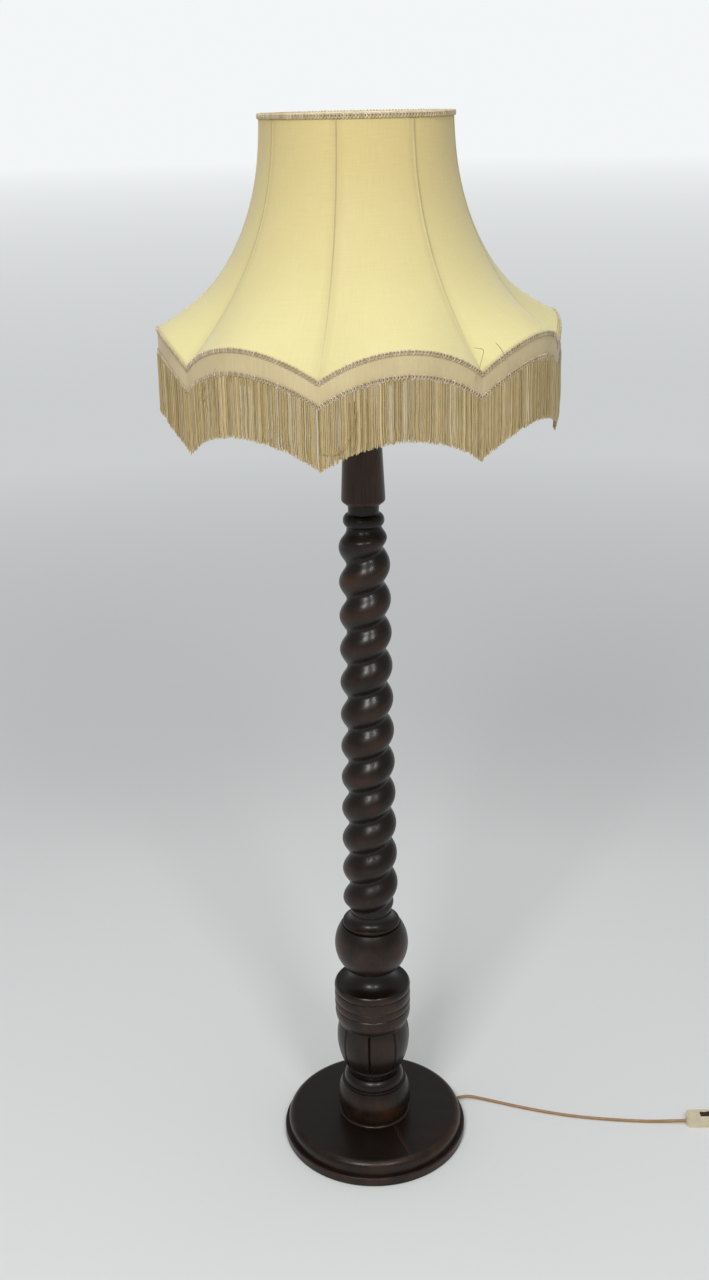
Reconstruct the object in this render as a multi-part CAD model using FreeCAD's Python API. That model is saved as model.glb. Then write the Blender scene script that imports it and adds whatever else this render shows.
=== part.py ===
import FreeCAD, Part
import os
from math import acos, cos, degrees, pi, radians, sin, sqrt, tan

# Candlestick floor lamp: a turned and twisted dark wood standard on a round base,
# with an eight-panel cloth shade that has a scalloped hem, braid and a long fringe.
# Millimetres. +Z is up, and the origin is on the floor in the middle of the base.
# -Y is the front. Each turned piece is a stack of steps (rise, radius, bulge): the
# radius is where the step ends, and the bulge is how far its arc swells outward.

Vector = FreeCAD.Vector
UP = Vector(0, 0, 1)

# ---------------------------------------------------------------- driving sizes
# Base and felt
felt_thickness = 2.0
felt_inset = 1.0
plinth_radius = 154.4
plinth_edge_height = 11.5
plinth_edge_round = 2.0
disc_radius = 147.5
disc_edge_height = 11.3
disc_edge_round = 12.0
base_top_rise = 1.2
recess_radius = 34.0
recess_depth = 24.0

# Turned column pieces: greatest radii and heights
foot_seat_radius = 59.5
foot_flare_height = 4.0
foot_barrel_height = 57.0
foot_barrel_radius = 57.2
foot_barrel_bulge = 5.9
foot_ring_height = 18.0
foot_ring_radius = 49.5
foot_bead_height = 13.0
foot_neck_radius = 36.5
foot_neck_height = 3.0
vase_lip_radius = 46.5
vase_belly_height = 79.0
vase_belly_bulge = 7.3
vase_top_radius = 56.0
vase_ring_radius = 61.9
vase_torus_height = 28.0
vase_bead_height = 11.6
vase_band_height = 16.2
vase_rim_height = 13.0
vase_cove_height = 23.0
vase_waist_radius = 30.0
vase_waist_height = 6.0
flute_count = 8
flute_turn = radians(38.0)
flute_depth = 2.8
flute_half_width = 2.4
knop_foot_radius = 38.5
knop_foot_height = 4.0
knop_ball_height = 76.0
knop_ball_bulge = 13.0
knop_ball_end_radius = 47.2
knop_collar_height = 6.0
knop_collar_radius = 45.5

# Twisted shaft
shaft_cove_height = 17.0
shaft_neck_radius = 33.5
twist_height = 652.0
twist_pitch = 54.0
twist_start_angle = radians(15.0)
twist_fade = 22.0
twist_root_bottom = 33.0
twist_root_top = 25.8
twist_crest_bottom = 45.5
twist_crest_top = 38.4
twist_fullness = 0.42
shaft_bead_height = 18.0
shaft_bead_radius = 27.0
shaft_bead_bulge = 4.6
shaft_top_neck_height = 12.0
shaft_top_neck_radius = 22.8

# Candle neck
candle_radius = 32.6
candle_foot_height = 9.0
candle_height = 137.0
candle_top_radius = 26.3

# Joints between the wooden pieces
tenon_radius = 13.0
tenon_length = 18.0
base_tenon_length = 6.5
glue_gap = 0.1
tenon_end_gap = 1.0

# Centre tube, nuts and the flex inside
tube_radius = 5.0
tube_wall = 1.3
tube_bore_gap = 0.3
flex_radius = 2.5
flex_height = 6.2
flex_bend = 11.0
washer_radius = 15.0
washer_thickness = 2.0
nut_across_flats = 17.0
nut_thickness = 5.0
tube_thread_end = 0.5

# Cord exit at the back right of the plinth
exit_angle = radians(22.5)
groove_width = 8.0
grommet_radius = 3.9
grommet_flange_radius = 5.6
grommet_flange = 2.5
grommet_length = 20.0
grommet_bore_gap = 0.1
clamp_distance = 62.0
clamp_length = 26.0
clamp_width = 12.0
clamp_thickness = 1.5
clamp_screw_radius = 1.5
clamp_screw_length = 9.0
clamp_screw_spacing = 16.0

# Brass fittings above the candle neck
cap_radius = 21.0
cap_thickness = 3.0
sleeve_wall = 1.35
sleeve_length = 210.8
sleeve_gap = 0.15

# Lampholder, shade ring and bulb
holder_radius = 19.5
holder_wall = 1.5
holder_cap_height = 20.0
holder_cap_foot_radius = 11.0
holder_shell_height = 45.0
holder_flange_radius = 24.0
holder_flange_height = 11.0
holder_flange_thickness = 3.0
insert_height = 38.0
insert_floor = 12.0
ring_nut_radius = 27.0
ring_nut_height = 6.0
thread_gap = 0.06
seat_gap = 0.2
bulb_cap_radius = 13.2
bulb_cap_height = 25.0
bulb_cap_gap = 0.3
bulb_radius = 30.0
bulb_neck_height = 24.0
bulb_glass_height = 82.0
bulb_wall = 1.0

# Shade
panel_count = 8
panel_turn = radians(33.9)
shade_top_radius = 131.0
shade_hem_radius = 276.0
shade_hem_bow = 7.0
shade_height = 311.0
scallop_rise = 38.0
cloth_thickness = 1.3
collar_height = 33.0
braid_height = 7.5
braid_thickness = 1.8
braid_spacing = 30.0
fringe_length = 80.5
fringe_thickness = 2.0
frame_wire_radius = 1.5
carrier_wire_radius = 1.8
carrier_ring_width = 8.5
carrier_ring_thickness = 2.0
carrier_drop = 143.0
carrier_arm_count = 4
frame_gap = 0.3
sections_per_panel = 6

# Lead: route on the floor, chosen by hand, and what is on it
cord_radius = 2.5
floor_gap = 0.1
switch_length = 70.0
switch_width = 25.0
switch_height = 18.0
switch_split = 8.5
switch_wall = 2.0
switch_corner = 8.0
switch_entry_height = 5.5
switch_centre_x = 572.0
switch_centre_y = -9.0
window_length = 22.4
window_width = 12.4
rocker_length = 20.0
rocker_gap = 0.4
rocker_tilt = radians(8.0)
rocker_pin_radius = 1.5
rocker_pin_length = 2.0
rocker_pin_gap = 0.06
rocker_depth = 3.6
rocker_proud = 1.4
switch_screw_radius = 1.6
switch_screw_spacing = 48.0
switch_screw_top = 13.0
switch_boss_radius = 3.6
contact_length = 8.0
contact_width = 5.0
contact_height = 4.0
contact_spacing = 24.0
tie_thickness = 1.0
tie_width = 7.0
tie_gap = 0.6
coil_centre_x = 704.0
coil_centre_y = -60.0
coil_outer_radius = 39.8
coil_pitch = 5.6
coil_turns_in = 3.5
coil_turns_out = 3.5
plug_length = 36.0
plug_width = 35.0
plug_thickness = 14.0
plug_neck_width = 11.0
plug_pin_radius = 2.0
plug_pin_length = 19.0
plug_pin_spacing = 19.0
plug_pin_seat = 6.0
plug_face_length = 12.0
plug_edge_round = 4.0
plug_tip_x = 589.0
plug_centre_y = -106.0
cord_entry_depth = 3.0
cord_entry_gap = 0.4

ALL_THROUGH = 4000.0

os.makedirs("parts", exist_ok=True)


# ---------------------------------------------------------------- shared helpers
def save(name, solids):
    """Write the node and print its volume."""
    shape = solids if isinstance(solids, Part.Shape) else Part.makeCompound(solids)
    shape.exportStep("parts/" + name + ".step")
    print("%-18s %2d solid(s) %12.1f mm3 valid %s" % (name, len(shape.Solids), shape.Volume, shape.isValid()))


def side(points):
    """Planar wire in the XZ plane through (radius, height, bulge) points, closed by a straight line."""
    edges = []
    for (r0, z0, _), (r1, z1, bulge) in zip(points, points[1:]):
        start = Vector(r0, 0, z0)
        end = Vector(r1, 0, z1)
        run = end - start
        if run.Length < 1e-6:
            continue
        if bulge == 0:
            edges.append(Part.LineSegment(start, end).toShape())
        else:
            outward = Vector(run.z, 0, -run.x).normalize()
            middle = (start + end) * 0.5 + outward * bulge
            arc = Part.Arc(start, middle, end).toShape()
            if arc.Curve.Center.x < 0:
                arc = arc.Curve.toBSpline(arc.FirstParameter, arc.LastParameter).toShape()
            edges.append(arc)
    last = edges[-1].Vertexes[-1].Point
    first = edges[0].Vertexes[0].Point
    edges.append(Part.LineSegment(last, first).toShape())
    return Part.Wire(edges)


def turned(start_radius, steps, bore_radius=0.0):
    """Solid of revolution about Z, from z = 0, made of (rise, radius, bulge) steps."""
    points = [(bore_radius, 0, 0), (start_radius, 0, 0)]
    height = 0.0
    for rise, radius, bulge in steps:
        height += rise
        points.append((radius, height, bulge))
    points.append((bore_radius, height, 0))
    return Part.Face(side(points)).revolve(Vector(), UP, 360)


def rise_of(steps):
    """Height of a stack of steps."""
    return sum(step[0] for step in steps)


def cylinder(radius, height, base=Vector(), axis=UP):
    return Part.makeCylinder(radius, height, base, axis)


def pipe(outer, inner, height, base=Vector()):
    """Straight tube along Z."""
    return cylinder(outer, height, base).cut(cylinder(inner, height, base))


def moved(shape, x=0.0, y=0.0, z=0.0):
    copy = shape.copy()
    copy.translate(Vector(x, y, z))
    return copy


def placed(radius, height, angle):
    """Point at a radius, a height and an angle about Z."""
    return Vector(radius * cos(angle), radius * sin(angle), height)


def spun(shape, angle, centre=Vector()):
    """Copy turned about the vertical line through centre; angle in radians."""
    copy = shape.copy()
    copy.rotate(centre, UP, degrees(angle))
    return copy


def joined(shapes):
    """One solid from shapes that touch or overlap."""
    return shapes[0].multiFuse(shapes[1:]).removeSplitter()


def hexagon_nut(across_flats, bore, thickness):
    corner = across_flats / 2 / cos(pi / 6)
    points = [Vector(corner * cos(k * pi / 3), corner * sin(k * pi / 3), 0) for k in range(7)]
    body = Part.Face(Part.makePolygon(points)).extrude(Vector(0, 0, thickness))
    return body.cut(cylinder(bore, thickness))


def quarter(radius):
    """Bulge of a quarter circle of this radius."""
    return radius * (1 - cos(pi / 4))


# ---------------------------------------------------------------- turned outlines
plinth_steps = [
    (plinth_edge_height, plinth_radius, 0),
    (plinth_edge_round, plinth_radius - plinth_edge_round, quarter(plinth_edge_round)),
    (0, disc_radius, 0),
    (disc_edge_height, disc_radius, 0),
    (disc_edge_round, disc_radius - disc_edge_round, quarter(disc_edge_round)),
    (base_top_rise, foot_seat_radius + 1.5, 0),
]

foot_steps = [
    (foot_flare_height, foot_barrel_radius, -0.7),
    (foot_barrel_height, foot_barrel_radius - 3.2, foot_barrel_bulge),
    (1.5, foot_ring_radius, -0.4),
    (foot_ring_height, foot_ring_radius - 6.5, 3.0),
    (2.0, foot_neck_radius, -0.5),
    (foot_bead_height, foot_neck_radius, 2.2),
    (foot_neck_height, foot_neck_radius, 0),
]

vase_belly_steps = [
    (2.5, vase_lip_radius + 3.0, 0.9),
    (vase_belly_height, vase_top_radius, vase_belly_bulge),
]

vase_ring_steps = [
    (1.5, vase_top_radius + 0.3, 0),
    (vase_torus_height, vase_ring_radius, 2.6),
    (1.2, vase_ring_radius - 1.2, 0),
    (1.2, vase_ring_radius, 0),
    (vase_bead_height, vase_ring_radius, 1.0),
    (0.9, vase_ring_radius - 1.0, 0),
    (0.9, vase_ring_radius, 0),
    (vase_band_height, vase_ring_radius, 1.1),
    (1.0, vase_ring_radius - 1.3, 0),
    (1.0, vase_ring_radius - 0.3, 0),
    (vase_rim_height, vase_ring_radius - 2.2, 2.2),
    (0, vase_ring_radius - 6.0, 0),
    (vase_cove_height, vase_waist_radius, -7.5),
    (vase_waist_height, vase_waist_radius, 0),
]

knop_steps = [
    (knop_foot_height, knop_foot_radius + 1.0, 0.6),
    (0, knop_ball_end_radius - 1.4, 0),
    (knop_ball_height, knop_ball_end_radius + 1.4, knop_ball_bulge),
    (1.0, knop_collar_radius - 1.5, 0),
    (knop_collar_height, knop_collar_radius, 1.6),
]

shaft_foot_steps = [
    (shaft_cove_height, shaft_neck_radius, -4.5),
]

shaft_head_steps = [
    (shaft_bead_height, shaft_bead_radius - 1.5, shaft_bead_bulge),
    (2.0, shaft_top_neck_radius, -0.5),
    (shaft_top_neck_height, shaft_top_neck_radius + 0.5, 0),
]

candle_steps = [
    (3.0, candle_radius - 4.6, 0.5),
    (candle_foot_height - 3.0, candle_radius, 1.3),
    (candle_height - 3.0, candle_top_radius, 0),
    (3.0, candle_top_radius - 2.3, 0.7),
]

# ---------------------------------------------------------------- levels
z_wood = felt_thickness
z_foot = z_wood + rise_of(plinth_steps)
z_vase = z_foot + rise_of(foot_steps)
z_vase_rings = z_vase + rise_of(vase_belly_steps)
z_knop = z_vase_rings + rise_of(vase_ring_steps)
z_shaft = z_knop + rise_of(knop_steps)
z_twist = z_shaft + rise_of(shaft_foot_steps)
z_shaft_head = z_twist + twist_height
z_candle = z_shaft_head + rise_of(shaft_head_steps)
z_cap = z_candle + rise_of(candle_steps)
z_lock_nut = z_cap + cap_thickness
z_sleeve = z_lock_nut + nut_thickness
z_holder = z_sleeve + sleeve_length
z_shell = z_holder + holder_cap_height
z_carrier = z_shell + holder_flange_height + holder_flange_thickness + seat_gap
z_ring_nut = z_carrier + carrier_ring_thickness + seat_gap
z_bulb = z_shell + insert_floor + bulb_cap_gap
z_shade_top = z_carrier + carrier_drop
z_hem = z_shade_top - shade_height
z_recess_top = z_wood + recess_depth
z_tube = z_recess_top - washer_thickness - nut_thickness - tube_thread_end
bore_radius = tube_radius + tube_bore_gap
print("column top %.1f, carrier %.1f, shade top %.1f, hem cusp %.1f" % (z_cap, z_carrier, z_shade_top, z_hem))


# ---------------------------------------------------------------- base
def along_exit(distance, height=0.0):
    """Point on the radius that the cord leaves along."""
    return Vector(distance * cos(exit_angle), distance * sin(exit_angle), height)


def felt_pad():
    return cylinder(plinth_radius - felt_inset, felt_thickness)


def exit_box(length, width, height, distance, bottom):
    """Box centred on the exit radius at a distance from the middle."""
    box = Part.makeBox(length, width, height, Vector(distance - length / 2, -width / 2, bottom))
    return spun(box, exit_angle)


def clamp_screw_points():
    """The two screws of the flex clamp, either side of the groove."""
    middle = along_exit(clamp_distance)
    across = Vector(-sin(exit_angle), cos(exit_angle), 0) * (clamp_screw_spacing / 2)
    return [middle + across, middle - across]


def base_disc():
    body = moved(turned(plinth_radius, plinth_steps), z=z_wood)
    cuts = [
        cylinder(recess_radius, recess_depth, Vector(0, 0, z_wood)),
        cylinder(bore_radius, ALL_THROUGH),
        cylinder(tenon_radius * 1.5 + glue_gap, base_tenon_length + tenon_end_gap,
                 Vector(0, 0, z_foot - base_tenon_length - tenon_end_gap)),
    ]
    groove_end = plinth_radius - grommet_length
    groove_depth = flex_height + groove_width / 2 - z_wood
    cuts.append(exit_box(groove_end, groove_width, groove_depth, groove_end / 2, z_wood))
    cuts.append(cylinder(grommet_radius + glue_gap, grommet_length + 10,
                         along_exit(groove_end - 1, flex_height), along_exit(1)))
    cuts.append(cylinder(grommet_flange_radius + 1.0, plinth_radius,
                         along_exit(plinth_radius - 1.0, flex_height), along_exit(1)))
    clamp_size = (clamp_width + glue_gap, clamp_length + glue_gap, clamp_thickness)
    cuts.append(exit_box(*clamp_size, clamp_distance, z_wood))
    for point in clamp_screw_points():
        cuts.append(cylinder(clamp_screw_radius, clamp_screw_length, point + UP * z_wood))
    for cut in cuts:
        body = body.cut(cut)
    return body


def flex_clamp():
    plate = exit_box(clamp_width, clamp_length, clamp_thickness, clamp_distance, z_wood)
    for point in clamp_screw_points():
        plate = plate.cut(cylinder(clamp_screw_radius, clamp_thickness, point + UP * z_wood))
    return plate


def clamp_screws():
    starts = [point + UP * z_wood for point in clamp_screw_points()]
    return [cylinder(clamp_screw_radius, clamp_screw_length, start) for start in starts]


def cord_grommet():
    """Sleeve in the drilled edge with a flange outside, bored for the flex."""
    start = plinth_radius - grommet_length
    sleeve = cylinder(grommet_radius, grommet_length, along_exit(start, flex_height), along_exit(1))
    flange = cylinder(grommet_flange_radius, grommet_flange,
                      along_exit(plinth_radius - 1.0, flex_height), along_exit(1))
    bore_start = along_exit(start - 10, flex_height)
    bore = cylinder(flex_radius + grommet_bore_gap, ALL_THROUGH, bore_start, along_exit(1))
    return sleeve.fuse(flange).cut(bore)


def base_washer():
    return pipe(washer_radius, bore_radius, washer_thickness, Vector(0, 0, z_recess_top - washer_thickness))


def base_nut():
    return moved(hexagon_nut(nut_across_flats, tube_radius, nut_thickness), z=z_tube + tube_thread_end)


# ---------------------------------------------------------------- column
def wooden_piece(start_radius, steps, bottom, socket=True, peg=True):
    """Turned column piece with its peg above, its socket below and the bore for the tube."""
    top = rise_of(steps)
    body = turned(start_radius, steps)
    if peg:
        body = body.fuse(cylinder(tenon_radius, tenon_length, Vector(0, 0, top)))
    if socket:
        body = body.cut(cylinder(tenon_radius + glue_gap, tenon_length + tenon_end_gap))
    body = body.cut(cylinder(bore_radius, ALL_THROUGH, Vector(0, 0, -ALL_THROUGH / 2)))
    return moved(body, z=bottom)


def pedestal_foot():
    body = wooden_piece(foot_seat_radius, foot_steps, z_foot, socket=False)
    spigot_foot = Vector(0, 0, z_foot - base_tenon_length)
    return body.fuse(pipe(tenon_radius * 1.5, bore_radius, base_tenon_length, spigot_foot))


def belly_radius(height):
    """Radius of the vase's belly at a height above its lower edge."""
    lower = rise_of(vase_belly_steps[:1])
    start = Vector(vase_lip_radius + 3.0, lower, 0)
    end = Vector(vase_top_radius, lower + vase_belly_height, 0)
    half = (end - start).Length / 2
    arc_radius = (half ** 2 + vase_belly_bulge ** 2) / (2 * vase_belly_bulge)
    along = (end - start).normalize()
    outward = Vector(along.y, -along.x, 0)
    centre = (start + end) * 0.5 + outward * (vase_belly_bulge - arc_radius)
    return centre.x + sqrt(arc_radius ** 2 - (height - centre.y) ** 2)


def flute():
    """V-shaped cutter that follows the belly from its lower lip to the rings, in the XZ plane."""
    lower = rise_of(vase_belly_steps[:1])
    stations = [lower + vase_belly_height * k / 6 for k in range(7)]
    outlines = []
    for height in stations:
        radius = belly_radius(height)
        slope = flute_half_width / flute_depth
        apex = Vector(radius - flute_depth, 0, height)
        right = Vector(radius + flute_depth, 2 * flute_depth * slope, height)
        left = Vector(radius + flute_depth, -2 * flute_depth * slope, height)
        outlines.append(Part.makePolygon([apex, right, left, apex]))
    groove = Part.makeLoft(outlines, True, False)
    foot = outlines[0].copy()
    foot.translate(Vector(0, 0, -lower - 1))
    return groove.fuse(Part.makeLoft([foot, outlines[0]], True, True))


def gadrooned_vase():
    body = wooden_piece(vase_lip_radius - 4.5, vase_belly_steps + vase_ring_steps, z_vase)
    cutter = moved(flute(), z=z_vase)
    for k in range(flute_count):
        body = body.cut(spun(cutter, flute_turn + 2 * pi * k / flute_count))
    return body


def ball_knop():
    return wooden_piece(knop_foot_radius, knop_steps, z_knop)


def twist_radius(angle, height):
    """Radius of the single right-handed twist at an angle and a height above its lower end."""
    share = height / twist_height
    root = twist_root_bottom + (twist_root_top - twist_root_bottom) * share
    crest = twist_crest_bottom + (twist_crest_top - twist_crest_bottom) * share
    phase = pi * (height / twist_pitch - (angle - twist_start_angle) / (2 * pi))
    softness = 0.02
    least = softness ** twist_fullness
    most = (1 + softness) ** twist_fullness
    swell = ((cos(phase) ** 2 + softness) ** twist_fullness - least) / (most - least)
    nearest_end = min(height, twist_height - height)
    fade = sin(pi / 2 * min(1.0, nearest_end / twist_fade)) ** 2
    return root + (crest - root) * swell * fade


def facing(face, direction):
    """The flat face turned so that its normal follows a direction."""
    if face.normalAt(0, 0).dot(direction) < 0:
        face.reverse()
    return face


def twist_body():
    """Solid under one closed surface that is shaped by rows of points up the shaft."""
    columns = 24
    rows = int(round(twist_height / twist_pitch * 12))
    poles = []
    for i in range(rows + 1):
        height = twist_height * i / rows
        angles = [2 * pi * j / columns for j in range(columns)]
        poles.append([placed(twist_radius(angle, height), height, angle) for angle in angles])
    up_knots = list(range(rows - 1))
    up_mults = [4] + [1] * (rows - 3) + [4]
    around_knots = list(range(columns + 1))
    around_mults = [1] * (columns + 1)
    surface = Part.BSplineSurface()
    surface.buildFromPolesMultsKnots(poles, up_mults, around_mults, up_knots, around_knots, False, True, 3, 3)
    skin = surface.toShape()
    skin.reverse()
    rings = [edge for edge in skin.Edges if edge.BoundBox.ZLength < 1e-3]
    rings.sort(key=lambda ring: ring.BoundBox.ZMin)
    bottom = facing(Part.Face(Part.Wire([rings[0]])), -UP)
    top = facing(Part.Face(Part.Wire([rings[1]])), UP)
    return Part.makeSolid(Part.makeShell([skin, bottom, top]))


def twist_column():
    foot = moved(turned(knop_collar_radius - 0.5, shaft_foot_steps), z=z_shaft)
    head = moved(turned(shaft_bead_radius, shaft_head_steps), z=z_shaft_head)
    peg = cylinder(tenon_radius, tenon_length, Vector(0, 0, z_candle))
    body = foot.multiFuse([moved(twist_body(), z=z_twist), head, peg])
    body = body.cut(cylinder(tenon_radius + glue_gap, tenon_length + tenon_end_gap, Vector(0, 0, z_shaft)))
    return body.cut(cylinder(bore_radius, ALL_THROUGH))


def candle_neck():
    return wooden_piece(candle_radius - 8.1, candle_steps, z_candle, peg=False)


# ---------------------------------------------------------------- tube, flex and brass fittings
def centre_tube():
    top = z_holder + 8.0
    return pipe(tube_radius, tube_radius - tube_wall, top - z_tube, Vector(0, 0, z_tube))


def inner_flex():
    """Flex from the grommet's mouth along the groove, up through the tube to the lampholder."""
    mouth = along_exit(plinth_radius - 1.0 + grommet_flange, flex_height)
    bend_start = along_exit(flex_bend, flex_height)
    bend_middle = along_exit(flex_bend * (1 - sin(pi / 4)), flex_height + flex_bend * (1 - cos(pi / 4)))
    bend_end = Vector(0, 0, flex_height + flex_bend)
    top = Vector(0, 0, z_shell + 2.0)
    path = Part.Wire([
        Part.LineSegment(mouth, bend_start).toShape(),
        Part.Arc(bend_start, bend_middle, bend_end).toShape(),
        Part.LineSegment(bend_end, top).toShape(),
    ])
    section = Part.Wire(Part.Circle(mouth, along_exit(1), flex_radius).toShape())
    return path.makePipeShell([section], True, False)


def neck_cap():
    steps = [(cap_thickness - 1.0, cap_radius, 0.3), (1.0, cap_radius - 3.0, 0.3)]
    return moved(turned(cap_radius, steps, bore_radius), z=z_cap)


def lock_nut():
    return moved(hexagon_nut(nut_across_flats, tube_radius, nut_thickness), z=z_lock_nut)


def stem_sleeve():
    inner = tube_radius + sleeve_gap
    return pipe(inner + sleeve_wall, inner, sleeve_length, Vector(0, 0, z_sleeve))


def holder_cap():
    """Domed brass cap that screws on the tube and carries the shell."""
    rise = holder_cap_height - 4.0
    outer = turned(holder_cap_foot_radius, [(4.0, holder_cap_foot_radius, 0), (rise, holder_radius, 2.5)])
    hollow = turned(holder_cap_foot_radius - holder_wall, [(rise, holder_radius - holder_wall, 2.5)])
    body = outer.cut(moved(hollow, z=4.0))
    return moved(body.cut(cylinder(tube_radius, 4.0)), z=z_holder)


def holder_shell():
    """Brass shell with the shoulder that the shade's ring rests on."""
    body = cylinder(holder_radius, holder_shell_height)
    flange_foot = Vector(0, 0, holder_flange_height)
    body = body.fuse(cylinder(holder_flange_radius, holder_flange_thickness, flange_foot))
    body = body.cut(cylinder(holder_radius - holder_wall, holder_shell_height))
    return moved(body, z=z_shell)


def holder_insert():
    """Porcelain insert with the screw socket for the bulb."""
    body = cylinder(holder_radius - holder_wall - glue_gap, insert_height - 2.0, Vector(0, 0, 2.0))
    socket = cylinder(bulb_cap_radius + bulb_cap_gap, insert_height, Vector(0, 0, insert_floor))
    return moved(body.cut(socket), z=z_shell)


def shade_ring_nut():
    return pipe(ring_nut_radius, holder_radius + thread_gap, ring_nut_height, Vector(0, 0, z_ring_nut))


def bulb_cap():
    steps = [(3.0, 9.5, 0.3), (1.0, bulb_cap_radius, 0), (bulb_cap_height - 4.0, bulb_cap_radius, 0)]
    return moved(turned(4.0, steps), z=z_bulb)


def bulb_outline(inset):
    """Profile points of the glass: neck, flare and a ball, drawn in by the wall."""
    neck = bulb_cap_radius - 0.2 - inset
    ball = bulb_radius - inset
    ball_centre = bulb_glass_height - bulb_radius
    joint_angle = radians(-32.0)
    joint = (ball * cos(joint_angle), ball_centre + ball * sin(joint_angle))
    top = (0, ball_centre + ball)
    return neck, joint, top


def bulb_glass():
    """Hollow glass, open at the neck where the cap closes it."""
    neck, joint, top = bulb_outline(0.0)
    neck_in, joint_in, top_in = bulb_outline(bulb_wall)
    middle = Vector(bulb_radius, 0, bulb_glass_height - bulb_radius)
    middle_in = Vector(bulb_radius - bulb_wall, 0, middle.z)

    def edge(start, end):
        return Part.LineSegment(Vector(start[0], 0, start[1]), Vector(end[0], 0, end[1])).toShape()

    def ball(start, through, end):
        return Part.Arc(Vector(start[0], 0, start[1]), through, Vector(end[0], 0, end[1])).toShape()

    outline = Part.Wire([
        edge((neck, 0), (neck, bulb_neck_height / 2)),
        edge((neck, bulb_neck_height / 2), joint),
        ball(joint, middle, top),
        edge(top, top_in),
        ball(top_in, middle_in, joint_in),
        edge(joint_in, (neck_in, bulb_neck_height / 2)),
        edge((neck_in, bulb_neck_height / 2), (neck_in, 0)),
        edge((neck_in, 0), (neck, 0)),
    ])
    return moved(Part.Face(outline).revolve(Vector(), UP, 360), z=z_bulb + bulb_cap_height)


# ---------------------------------------------------------------- shade
rib_outline = [
    (shade_top_radius, 0.0),
    (shade_top_radius + 5.0, -60.0),
    (shade_top_radius + 29.5, -150.0),
    (shade_hem_radius - 67.0, -235.0),
    (shade_hem_radius, -shade_height),
]
panel_outline = [
    (shade_top_radius, 0.0),
    (shade_top_radius + 4.0, -58.0),
    (shade_top_radius + 27.0, -145.0),
    (shade_hem_radius - 64.0, -226.0),
    (shade_hem_radius + shade_hem_bow, scallop_rise - shade_height),
]


def panel_share(turn):
    """0 at a rib, 1 in the middle of a panel; turn runs from -1 to 1 across the panel."""
    return 1 - turn ** 2


def panel_angles():
    """(turn, angle) of each section across the first panel, from rib to rib."""
    half = pi / panel_count
    middle = panel_turn + half
    turns = [2.0 * k / sections_per_panel - 1 for k in range(sections_per_panel + 1)]
    return [(turn, middle + turn * half) for turn in turns]


def around(panel):
    """Eight copies of a panel's solid joined along the ribs."""
    return joined([spun(panel, 2 * pi * k / panel_count) for k in range(panel_count)])


def cover_section(turn, angle):
    """Closed outline of the cloth in the vertical plane at this angle."""
    share = panel_share(turn)
    outer = []
    for (r0, z0), (r1, z1) in zip(rib_outline, panel_outline):
        outer.append(placed(r0 + (r1 - r0) * share, z_shade_top + z0 + (z1 - z0) * share, angle))
    inward = placed(-cloth_thickness, 0, angle) - UP * (cloth_thickness * 0.6)
    inner = [point + inward for point in outer]
    outside = Part.BSplineCurve()
    outside.interpolate(outer)
    inside = Part.BSplineCurve()
    inside.interpolate(inner)
    return Part.Wire([
        outside.toShape(),
        Part.LineSegment(outer[-1], inner[-1]).toShape(),
        inside.toShape(),
        Part.LineSegment(inner[0], outer[0]).toShape(),
    ])


def shade_cover():
    sections = [cover_section(turn, angle) for turn, angle in panel_angles()]
    return around(Part.makeLoft(sections, True, False))


def hem_point(turn, angle, offset, drop):
    """Point at an offset outward from the hem line and a drop below it."""
    share = panel_share(turn)
    radius = shade_hem_radius + shade_hem_bow * share + offset
    return placed(radius, z_hem + scallop_rise * share - drop, angle)


def hem_band(inner, outer, top, bottom):
    """Band that follows the scalloped hem, between two offsets and two drops."""
    sections = []
    for turn, angle in panel_angles():
        corners = [(inner, top), (outer, top), (outer, bottom), (inner, bottom), (inner, top)]
        sections.append(Part.makePolygon([hem_point(turn, angle, a, b) for a, b in corners]))
    return around(Part.makeLoft(sections, True, False))


def hem_wire(drop):
    """Round wire just inside the cloth at a drop below the hem."""
    offset = -cloth_thickness - frame_gap - frame_wire_radius
    sections = []
    for turn, angle in panel_angles():
        centre = hem_point(turn, angle, offset, drop)
        tangent = Vector(-sin(angle), cos(angle), 0)
        sections.append(Part.Wire(Part.Circle(centre, tangent, frame_wire_radius).toShape()))
    return around(Part.makeLoft(sections, True, False))


upper_wire_drop = 3.5
lower_wire_drop = collar_height - 3.5
braid_drop = 1.5


def collar_band():
    return hem_band(-cloth_thickness, 0, cloth_thickness * 0.6 + 0.1, collar_height)


def braid_upper():
    top = braid_drop - braid_height / 2
    return hem_band(glue_gap, glue_gap + braid_thickness, top, top + braid_height)


def braid_lower():
    top = braid_drop + braid_spacing - braid_height / 2
    return hem_band(glue_gap, glue_gap + braid_thickness, top, top + braid_height)


def fringe():
    top = braid_drop + braid_spacing + braid_height / 2
    return hem_band(0, fringe_thickness, top, top + fringe_length)


def braid_top():
    inner = shade_top_radius + 0.8
    return pipe(inner + braid_thickness, inner, braid_height, Vector(0, 0, z_shade_top - braid_height + 1.5))


def rib_stations():
    """Points and directions down the rib line, just inside the cloth."""
    curve = Part.BSplineCurve()
    curve.interpolate([Vector(r, 0, z_shade_top + z) for r, z in rib_outline])
    depth = cloth_thickness * 1.2 + frame_gap + frame_wire_radius
    stations = []
    count = 8
    for k in range(count + 1):
        share = 0.022 + 0.962 * k / count
        along = curve.FirstParameter * (1 - share) + curve.LastParameter * share
        direction = curve.tangent(along)[0]
        inward = Vector(direction.z, 0, -direction.x)
        if inward.x > 0:
            inward = -inward
        stations.append((curve.value(along) + inward * depth, direction))
    return stations


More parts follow.
